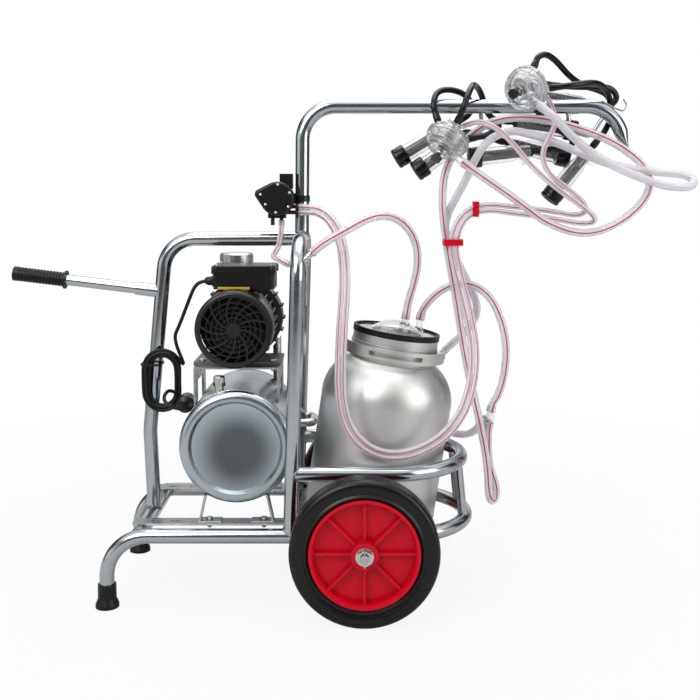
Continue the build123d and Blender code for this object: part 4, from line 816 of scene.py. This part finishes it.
@dataclass
class Hoses(Parts):
    """Clear hoses and black short tubes.

    Args:
        claws: The two claws.
        over_nipple: Outer and inner radius of a short tube over a nipple.
        cup_tail: From a cup's mouth to the tip of its tail.
    """

    claws: Sequence[Claw]
    over_nipple: Point = (8.3, 6.2)
    cup_tail: float = 172

    def hose(
        self, name: str, line: list[Vector], size: HoseSize, tip: Vector, bore: float, stripe: int, nodes: Sequence[str]
    ) -> None:
        """A clear hose with both ends in the object.

        Args:
            name: Its name.
            line: Its centreline in metres.
            size: Its size.
            tip: Tip of its first nipple.
            bore: Inner radius over the nipples.
            stripe: Which of its sides is red.
            nodes: CAD nodes that it stands for.
        """
        shape = Shape()
        free = size.d / 2
        shape.tube(line, flare(free, bore + size.wall), flare(free - size.wall, bore), 20, (stripe,))
        made = self.piece(shape, name, "clear_hose red_stripe", "clear_hose", nodes, smooth=None)
        tuple(metres([tip])[0])

    def make(self) -> None:
        """All the hoses and tubes."""
        up = CAN_PLACE.to_3x3() @ Vector((0, 0, 1))
        lid = [((CAN_PLACE @ (Vector(tip) * MM)) / MM, up) for tip in LID_NIPPLES]
        arms = [(Vector(end), Vector(end) - Vector(BRANCH)) for end in BRANCH_ENDS]
        ports = [(Vector(port), Vector((1, 0, 0))) for port in PULSE_PORTS]
        supply = (Vector(SUPPLY_PORT), Vector((0, 0, -1)))
        first, second = self.claws
        pulse_1 = [*PULSE_RUN, *PULSE_TAIL_1]
        pulse_2 = [*beside([PULSE_PORTS[0], *PULSE_RUN], PULSE_GAP)[1:], *PULSE_TAIL_2]
        for name, start, points, end, size, bore, stripe, nodes in (
            ("vacuum_line", nipple_tip(*VACUUM_NIPPLE), VACUUM_RUN, lid[0], WIDE, 7.6, 4, ["vacuum_hose"]),
            ("lid_line", lid[1], LID_RUN, arms[0], WIDE, 8.1, 4, ["milk_hoses"]),
            ("milk_line_1", arms[1], MILK_RUN_1, first.outlet(), WIDE, 8.1, 4, []),
            ("milk_line_2", arms[2], MILK_RUN_2, second.outlet(), WIDE, 8.1, 14, []),
            ("pulse_line_1", ports[0], pulse_1, first.pulse(), TWIN, 4.7, 5, ["pulse_hoses"]),
            ("pulse_line_2", ports[1], pulse_2, second.pulse(), TWIN, 4.7, 5, []),
            ("supply_line", supply, SUPPLY_RUN, nipple_tip(*SUPPLY_NIPPLE), TWIN, 5.1, 5, []),
        ):
            self.hose(name, size.line(start, points, end), size, start[0], bore, stripe, nodes)
        self.short_tubes()

    def short_tubes(self) -> None:
        """The black tubes from the claws' nipples to the cups."""
        shape = Shape()
        free, (wide, bore) = SHORT.d / 2, self.over_nipple
        for c, i, k, points in SHORT_RUNS:
            head, way = Vector(CUPS[k][0]), Vector(CUPS[k][1]).normalized()
            line = SHORT.line(self.claws[c].nipple(i), points, (head + way * self.cup_tail, way))
            shape.tube(line, flare(free, wide), flare(free - SHORT.wall, bore), 18)
        self.piece(shape, "short_milk_tubes", "gloss_rubber", "black_rubber", ["short_tubes"], smooth=None)


@dataclass
class PowerCord(Parts):
    """The mains cord, wound in an oval coil between its gland and its plug.

    Args:
        turns: Turns of the coil.
        r: Radius of the coil's round ends.
        half: Half of its straight sides.
        strand: How far the strands are from their middle, which they go round once in all the turns.
        begin: Where the coil begins, in degrees.
        short: Share of a turn that the coil lacks at its end.
        d: The cord's diameter.
        steps: Points in a turn.
        leads: How far the cord goes straight on before and after the coil.
    """

    turns: int = 5
    r: float = 37.0
    half: float = 27.5
    strand: float = 6.9
    begin: float = 28
    short: float = 0.28
    d: float = 8.0
    steps: int = 20
    leads: Point = (22, 16)

    def oval(self, s: float) -> tuple[Point, Point]:
        """Place and outward direction in XZ at a distance along the oval."""
        r, bend = self.r, math.pi * self.r
        second, s = divmod(s, bend + 2 * self.half)
        flip = -1 if second else 1
        if s < bend:
            x, z = math.cos(s / r), math.sin(s / r)
            return (flip * r * x, flip * (self.half + r * z)), (flip * x, flip * z)
        return (-flip * r, flip * (self.half - (s - bend))), (-flip, 0)

    def coil(self) -> list[Vector]:
        """Points of the wound part, in millimetres."""
        perimeter = 2 * math.pi * self.r + 4 * self.half
        begin, steps = self.r * math.radians(self.begin), self.steps * self.turns
        points = []
        for n in range(steps + 1):
            gone = n / steps * (perimeter * self.turns - self.short * perimeter)
            centre, out = self.oval((begin + gone) % perimeter)
            turn = 2 * math.pi * gone / (perimeter * self.turns)
            near = self.strand * math.cos(turn)
            points.append(Vector((COIL[0] + centre[0] + out[0] * near, COIL[1] - self.strand * math.sin(turn),
                                  COIL[2] + centre[1] + out[1] * near)))
        return points

    def make(self) -> None:
        """The cord from the gland through its coil to the plug."""
        coil, gland, plug = self.coil(), Vector(GLAND), Vector(PLUG)
        into = coil[0] - (coil[1] - coil[0]).normalized() * self.leads[0]
        out = coil[-1] + (coil[-1] - coil[-2]).normalized() * self.leads[1]
        ends = gland + Vector((6, 0, 0)), plug + Vector((0, 8, 0))
        line = smooth_line(metres([ends[0], gland, *LEAD, into, *coil, out, *TAIL, plug, ends[1]]))
        shape = Shape()
        shape.tube(line, self.d / 2 * MM, 0.0, 12)
        cord = self.piece(shape, "mains_cord", "cord_sheath", "cord_rubber", ["power_cord", "cord_coil"], smooth=None)
        tuple(metres([gland])[0])
        log.info("power cord %.2f m", line_length(line))


# ---- turned pieces
@dataclass
class Tyres(Parts):
    """The two tyres, with a shoulder, a seat ring over the rim and grooves round the tread.

    Args:
        seat: Radius of the seat on the rim.
        bead: How far the bead goes up beside the rim.
        groove: Width and depth of a tread groove.
        grooves: Number of grooves.
        shoulder: Rounding between side and tread.
        crown: How far the tread's edge lies inside the tyre's side.
    """

    seat: float = 114.1
    bead: float = 14.0
    groove: Point = (3.0, 2.5)
    grooves: int = 4
    shoulder: float = 12.0
    crown: float = 0.4

    def profile(self, r: float, half: float) -> list[Point]:
        """Outline of the cross-section.

        Args:
            r: Outer radius.
            half: Half of the tyre's width.

        Returns:
            (radius, place along the axle) pairs in millimetres.
        """
        wide, deep = self.groove
        foot, ridge = self.seat + self.bead, self.seat + self.bead - 8
        side = [(self.seat, half - 8.2), (ridge, half - 4), (ridge + 1.5, half - 1), (ridge + 4, half - 0.6),
                (foot, half - 3.5), (foot + 5, half - 1.2), (r - self.shoulder - 5, half),
                (r - self.shoulder, half - self.crown)]
        steps = 5
        for i in range(1, steps + 1):
            a = math.pi / 2 * i / steps
            side.append((r - self.shoulder * (1 - math.sin(a)), half - self.crown - self.shoulder * (1 - math.cos(a))))
        flat = half - self.crown - self.shoulder
        tread = []
        for i in range(self.grooves):
            middle = flat * (1 - 2 * (i + 0.5) / self.grooves)
            tread += [(r, middle + wide / 2), (r - deep, middle + wide / 4), (r - deep, middle - wide / 4),
                      (r, middle - wide / 2)]
        return [*side, *tread, *[(a, -z) for a, z in reversed(side)]]

    def make(self) -> None:
        """Both tyres, where the solids are."""
        for name in ("left", "right"):
            low, high = (Vector(corner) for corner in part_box(f"{name}_tyre"))
            outline = self.profile((high.z - low.z) / 2 / MM, (high.y - low.y) / 2 / MM)
            shape = Shape()
            shape.turned(outline, axis_place((low + high) / 2, (0, 1, 0)), 128)
            self.piece(shape, f"{name}_tread_tyre", "tyre_rubber", "tyre_rubber", [f"{name}_tyre"], f"{name}_wheel")


@dataclass
class TeatCups(Parts):
    """Liners and clear shells of the teat cups.

    Args:
        head: Radius and length of a liner's head.
        shell: Radius, length and length of the wide part of a shell.
        tail_shell: Radius of the narrow part of a shell.
        wall: Wall of a shell.
        tail: Radius and length of a liner's tail.
        nipple: Outer and inner radius of the pulse nipple.
    """

    head: Point = (24.0, 30.0)
    shell: Point = (20.0, 115.0, 70.0)
    tail_shell: float = 15.0
    wall: float = 1.6
    tail: Point = (7.0, 28.0)
    nipple: Point = (3.2, 1.9)

    def liner(self) -> list[Point]:
        """Outline of a liner: mouth lip, head, barrel, knob and tail."""
        (r, h), (_, s, _), (t, tail) = self.head, self.shell, self.tail
        return [(11, 1.2), (12.2, 0.2), (r - 4, 0.2), (r - 1.4, 1.4), (r, 4), (r, 9), (r - 1.2, 10), (r - 1.2, 12),
                (r, 13), (r, h - 3), (r - 1, h), (12.4, h + 0.2), (11.6, h + 8), (11.6, h + s - 9), (t + 5, h + s - 1),
                (t + 5, h + s + 3), (t + 1, h + s + 5), (t, h + s + 8), (t, h + s + tail - 1),
                (t - 0.8, h + s + tail), (4, h + s + tail), (4, h + s - 6), (10, h + s - 14), (10, 7), (11, 4)]

    def clear(self) -> list[Point]:
        """Outline of a shell, with a bead round its rim."""
        h, (r, s, waist), t, w = self.head[1], self.shell, self.tail_shell, self.wall
        return [(r - w, h + 0.2), (r - 0.4, h + 0.2), (r, h + 0.8), (r, h + 4), (r - 0.5, h + 5),
                (r - 0.5, h + waist - 2), (r - 1.4, h + waist + 3), (t, h + waist + 12), (t, h + s - 4),
                (t - 1, h + s - 2), (12.6, h + s - 2), (12.6, h + s - 3.6), (t - w, h + s - 5),
                (t - w, h + waist + 12.6), (r - w - 1.4, h + waist + 3.4), (r - w - 0.5, h + waist - 2)]

    def pulse_nipple(self, shape: Shape, place: Matrix) -> None:
        """The small open nipple on the side of a shell."""
        t, z = self.tail_shell, self.head[1] + self.shell[2] + 22
        side = place @ Matrix.Rotation(math.pi, 4, "Z")
        line = [side @ (Vector(p) * MM) for p in ((0, t - 0.6, z), (0, t + 8, z + 2.6), (0, t + 15, z + 5))]
        r, bore = self.nipple
        shape.tube(line, r * MM, bore * MM, 16)

    def make(self) -> None:
        """All eight cups: their liners are one piece and their shells another."""
        places = [axis_place(metres([head])[0], way) for head, way in CUPS]
        liners, shells = Shape(), Shape()
        for place in places:
            liners.turned(self.liner(), place, 40)
            shells.turned(self.clear(), place, 40)
            self.pulse_nipple(shells, place)
        self.piece(liners, "cup_liners", "gloss_rubber", "black_rubber", ["teat_liners"])
        self.piece(shells, "cup_shells", "clear_plastic", "clear_plastic", ["teat_shells"])


# ---- small things on the solids
@dataclass
class Trims(Parts):
    """Weld beads, moulded ridges, screw heads and other small relief on the solids.

    Args:
        claws: The two claws.
        tube_r: Radius of the frame's tubes.
        half: Centre plane to the side tubes.
        base: Height of the base tubes' axis.
        rail: Height of the guard rail's axis.
        rear: X of the rear cross tube.
        front: X of the front cross tube.
        column: X of the column's foot and of its top, and how far it leans in each millimetre of height.
        bead: Radius of a weld bead.
        ridge: Radius of a moulded ridge.
    """

    claws: Sequence[Claw]
    tube_r: float = 16.0
    half: float = 170.0
    base: float = 137.0
    rail: float = 273
    rear: float = -387
    front: float = -54
    column: Point = (-58.4, -38.9, 0.0306)
    bead: float = 1.9
    ridge: float = 1.1

    CLAW_RIDGES = ((20, -36.6), (30, -34.2), (37, -27.4), (44, -20.4), (46.6, -12), (49, -3), (49, 3), (41.4, 10.2),
                   (34.2, 20.2), (25, 22.6))
    TANK_SEAMS = (-127, 127)
    SEAM = 0.9
    CAN_RINGS = ((150.0, 17, 0.8), (98.6, 364, 1.2))
    SCREW_HEAD = ((0.05, 0), (2.9, 0), (2.9, 0.6), (2.3, 1.3), (1.2, 1.7), (0.05, 1.8))
    BOSS = ((0.05, 0), (5.6, 0), (6.4, 1.2), (6.4, 15), (5.4, 17), (0.05, 17))
    PULSATOR = (-100, -52.8, 866)
    COVER_SCREWS = ((10, 31), (36, 13), (33, -18), (5, -31), (-18, -13), (-29, 9))
    LID_SCREWS = ((-227, -68, 718.2), (-227, 18, 718.2), (-105, -68, 718.2), (-105, 18, 718.2))
    BOSS_FEET = ((-231, -73, 699), (-231, 23, 699), (-101, -73, 699), (-101, 23, 699))
    SEAL = ((-235.2, -76.2, 703.6), (-96.8, 26.2, 705.6))
    STRIP = ((-224, -76.4, 664.5), (-152, -74.8, 670.5))

    def saddle(self, point: Point, way: Point, other: Point, steps: int = 48) -> list[Vector]:
        """The closed line where a tube meets another one sideways.

        Args:
            point: Where the two axes cross.
            way: Direction in which the coped tube leaves.
            other: Direction of the tube that it meets.
            steps: Points round it.

        Returns:
            The line in metres.
        """
        w = Vector(way).normalized()
        u = Vector(other).normalized()
        u = (u - w * u.dot(w)).normalized()
        v, r, full = w.cross(u), self.tube_r, self.tube_r + 0.8
        points = []
        for i in range(steps):
            a = 2 * math.pi * i / steps
            height = math.sqrt(full ** 2 - (r * math.sin(a)) ** 2)
            points.append(Vector(point) + (u * math.cos(a) + v * math.sin(a)) * r + w * height)
        return metres(points)

    def hoop(self, shape: Shape, place: Matrix, radius: float, height: float, thick: float, steps: int = 128) -> None:
        """A round rod bent to a circle, all in millimetres.

        Args:
            shape: The mesh that gets it.
            place: Where the circle's axis Z goes.
            radius: The circle's radius.
            height: Where it lies on the axis.
            thick: The rod's radius.
            steps: Points round it.
        """
        angles = [i * (2 * math.pi / steps) for i in range(steps)]
        line = metres(place @ Vector((radius * math.cos(a), radius * math.sin(a), height)) for a in angles)
        shape.tube(line, thick * MM, sides=8, closed=True)

    def welds(self) -> None:
        """Beads where the frame's tubes meet."""
        shape = Shape()
        foot, top, lean = self.column
        joints = [((self.rear, 0, self.base), (-0.018, 0, 1), (0, 1, 0)),
                  ((top, 0, 774), (-1, 0, 0), (0, 1, 0)),
                  ((top, 0, 775), (0.01, 0, 1), (0, 1, 0))]
        for side in (-self.half, self.half):
            joints += [((self.rear, side, self.base), (0, -side, 0), (1, 0, 0)),
                       ((self.front, side, self.base), (0, -side, 0), (1, 0, 0)),
                       ((foot, side, self.base), (lean, 0, 1), (1, 0, 0)),
                       ((foot + lean * (self.rail - self.base), side, self.rail), (1, 0, 0), (lean, 0, 1))]
        for joint in joints:
            shape.tube(self.saddle(*joint), self.bead * MM, sides=8, closed=True)
        self.piece(shape, "weld_beads", "weld_bead", "zinc_tube")

    def claw_ridges(self) -> None:
        """Rings moulded round the claws' bowls and covers."""
        shape = Shape()
        for claw in self.claws:
            for radius, height in self.CLAW_RIDGES:
                self.hoop(shape, claw.place, radius, height, self.ridge, 64)
        self.piece(shape, "claw_ridges", "ridge_plastic", "clear_plastic")

    def vessel_rings(self) -> None:
        """The tank's two seam beads and the can's rolled rings."""
        low, high = (Vector(corner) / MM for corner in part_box("vacuum_tank"))
        tank = axis_place((low + high) / 2 - RISE, (0, 1, 0))
        can = Matrix.Translation(CAN_PLACE.translation / MM) @ CAN_PLACE.to_3x3().to_4x4()
        seams, rings = Shape(), Shape()
        for y in self.TANK_SEAMS:
            self.hoop(seams, tank, (high.x - low.x) / 2, y, self.SEAM)
        for radius, height, thick in self.CAN_RINGS:
            self.hoop(rings, can, radius, height, thick)
        self.piece(seams, "tank_seams", "galvanised", "galvanised")
        self.piece(rings, "can_rings", "stainless", "stainless")

    def screws(self) -> None:
        """Domed heads on the pulsator's cover and on the terminal box."""
        shape = Shape()
        x0, y0, z0 = self.PULSATOR
        spots = [((x0 + x, y0, z0 + z), (0, -1, 0)) for x, z in self.COVER_SCREWS]
        spots += [(point, (0, 0, 1)) for point in self.LID_SCREWS]
        for point, way in spots:
            shape.turned(self.SCREW_HEAD, axis_place(metres([point])[0], way), 20)
        self.piece(shape, "screw_heads", "zinc_fixing", "zinc_fixings")

    def box_trim(self) -> None:
        """Bosses under the terminal box's lid screws, its seal line and the strip below it."""
        trim, strip = Shape(), Shape()
        for point in self.BOSS_FEET:
            trim.turned(self.BOSS, axis_place(metres([point])[0], (0, 0, 1)), 28)
        trim.box(*metres(self.SEAL), 0.6 * MM)
        strip.box(*metres(self.STRIP), 0.4 * MM)
        self.piece(trim, "terminal_trim", "black_plastic", "black_plastic")
        self.piece(strip, "motor_strip", "yellow_strip", "black_plastic")

    def make(self) -> None:
        """All the small pieces."""
        self.welds()
        self.claw_ridges()
        self.vessel_rings()
        self.screws()
        self.box_trim()


# ---- stage, light and camera
class Studio:
    """The pale floor, the soft light and the camera."""

    LENS = 51.3
    SHIFT = -0.116
    EYE = (0.071, -2.282, 0.9047)
    TILT = 4.5
    LAMPS = (
        ("key", (-1.6, -2.4, 2.6), (0.1, 0, 0.6), 2.2, 75),
        ("fill", (2.6, -1.8, 1.4), (0.2, 0, 0.6), 2.0, 32),
        ("top", (0.2, 0.4, 3.2), (0.1, 0, 0.5), 2.6, 60),
    )
    HEIGHT_BANDS = ((0.0, 0.5), (0.46, 0.5), (0.50, 0.7), (0.58, 1.0), (0.66, 0.35), (0.74, 0.3), (0.80, 1.3),
                    (1.0, 1.1))
    SIDE_BANDS = ((0.0, 0.18), (0.10, 0.18), (0.14, 1.2), (0.24, 1.2), (0.28, 0.08), (0.38, 0.08), (0.44, 1.0),
                  (0.56, 1.0), (0.62, 0.08), (0.72, 0.08), (0.76, 1.2), (0.86, 1.2), (0.90, 0.18), (1.0, 0.18))
    FLAG_TOP = (0.45, 0.75)
    WORLD_LIGHT = 0.55
    # Share of the floor's glow near the machine, below the full glow far off, so that shade is painted round the
    # machine; FLOOR_FADE is the distance over which the glow rises to full.
    FLOOR_WHITE = 0.90
    FLOOR_GREY = (0.55, 0.55, 0.55, 1)
    FLOOR_FADE = (0.7, 2.2)

    def make(self) -> None:
        """Everything round the object."""
        bpy.context.scene.view_settings.view_transform = "Standard"
        self.camera()
        self.world()
        self.floor()
        for lamp in self.LAMPS:
            self.lamp(*lamp)

    def camera(self) -> None:
        """The camera in front of the machine, a little above its middle."""
        data = bpy.data.cameras.new("camera")
        data.sensor_width = 36.0
        data.lens = self.LENS
        data.shift_y = self.SHIFT
        camera = bpy.data.objects.new("camera", data)
        bpy.context.scene.collection.objects.link(camera)
        camera.location = self.EYE
        camera.rotation_euler = (math.radians(90 - self.TILT), 0, 0)
        bpy.context.scene.camera = camera

    def lamp(self, name: str, place: Point, target: Point, size: float, watts: float) -> None:
        """A soft square lamp that looks at a point."""
        data = bpy.data.lights.new(name, "AREA")
        data.shape = "SQUARE"
        data.size = size
        data.energy = watts
        lamp = bpy.data.objects.new(name, data)
        bpy.context.scene.collection.objects.link(lamp)
        lamp.location = place
        lamp.rotation_euler = (Vector(target) - Vector(place)).to_track_quat("-Z", "Y").to_euler()

    def bands(self, tree: Tree, value: Socket | bpy.types.Node, reach: float, greys: Sequence[Point]) -> bpy.types.Node:
        """Grey bands over a value.

        Args:
            tree: The tree that gets the nodes.
            value: What the bands follow, from minus the reach to the reach.
            reach: Value at the last band.
            greys: (place from 0 to 1, grey) of each band.

        Returns:
            The node that gives the colour.
        """
        ramp = node(tree, "ValToRGB", {0: fade(tree, value, (-reach, reach))})
        elements = ramp.color_ramp.elements
        while len(elements) < len(greys):
            elements.new(0.5)
        for element, (place, grey) in zip(elements, greys):
            element.position = place
            element.color = (grey, grey, grey, 1)
        return ramp

    @staticmethod
    def seen(tree: Tree, path: bpy.types.Node) -> bpy.types.Node:
        """1 for what the eye sees, straight or through glass."""
        rays = path.outputs
        return node(tree, "Math", {0: rays["Is Camera Ray"], 1: rays["Is Transmission Ray"]}, operation="MAXIMUM")

    def world(self) -> None:
        """A white backdrop for the eye and for glass, with dark flags between it for metal."""
        world = bpy.data.worlds.new("studio")
        bpy.context.scene.world = world
        world.use_nodes = True
        tree = world.node_tree
        tree.nodes.clear()
        parts = node(tree, "SeparateXYZ", {0: node(tree, "TexCoord").outputs["Generated"]}).outputs
        bearing = node(tree, "Math", {0: parts["X"], 1: parts["Y"]}, operation="ARCTAN2")
        height = self.bands(tree, parts["Z"], 1.0, self.HEIGHT_BANDS)
        sides = self.bands(tree, bearing, math.pi, self.SIDE_BANDS)
        low = fade(tree, parts["Z"], self.FLAG_TOP, (1.0, 0.0))
        flags = blend(tree, "RGBA", low, height, sides, blend_type="MULTIPLY")
        shown = node(tree, "Background", {"Color": flags})
        lit = node(tree, "Background", {"Color": WHITE, "Strength": self.WORLD_LIGHT})
        path = node(tree, "LightPath")
        unseen = node(tree, "MixShader", {0: path.outputs["Is Glossy Ray"], 1: lit, 2: shown})
        white = node(tree, "Background", {"Color": WHITE})
        both = node(tree, "MixShader", {0: self.seen(tree, path), 1: unseen, 2: white})
        node(tree, "OutputWorld", {"Surface": both})

    def floor(self) -> None:
        """A floor that the eye sees white by its own glow; the glow is weaker near the machine, which paints shade
        round it, and the floor keeps its light shadow.
        """
        shape = Shape()
        bmesh.ops.create_grid(shape.bm, x_segments=1, y_segments=1, size=9.0, matrix=Matrix.Translation((0, 5, 0)))
        material, tree, shader = plain_material("pale_floor")
        fill(tree, shader, {"Base Color": self.FLOOR_GREY, "Roughness": 0.9})
        place = node(tree, "TexCoord").outputs["Object"]
        away = node(tree, "VectorMath", {0: place}, operation="LENGTH").outputs["Value"]
        # The glow rises with distance from the machine, so the floor near it carries painted shade.
        whiter = fade(tree, away, self.FLOOR_FADE, (self.FLOOR_WHITE, 1.0))
        share = node(tree, "Math", {0: self.seen(tree, node(tree, "LightPath")), 1: whiter}, operation="MULTIPLY")
        mix = node(tree, "MixShader", {0: share, 1: shader, 2: node(tree, "Emission", {"Color": WHITE})})
        fill(tree, next(n for n in tree.nodes if n.type == "OUTPUT_MATERIAL"), {"Surface": mix})
        shape.finish("floor", [material], 35.0)


# ---- the whole
def dress(frame: dict, materials: Materials) -> None:
    """Gives every CAD node its finish."""
    for finish, nodes in NODE_FINISH.items():
        for name in nodes.split():
            slots = frame["nodes"][name].data.materials
            slots.clear()
            slots.append(materials.get(finish))


def main() -> None:
    """Builds the scene."""
    logging.basicConfig(level=logging.INFO)
    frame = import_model()
    Studio().make()
    materials = Materials()
    claws = [Claw(*place) for place in CLAWS]
    dress(frame, materials)
    Tyres(materials).make()
    TeatCups(materials).make()
    Hoses(materials, claws).make()
    PowerCord(materials).make()
    Trims(materials, claws).make()


if __name__ == "__main__":
    main()
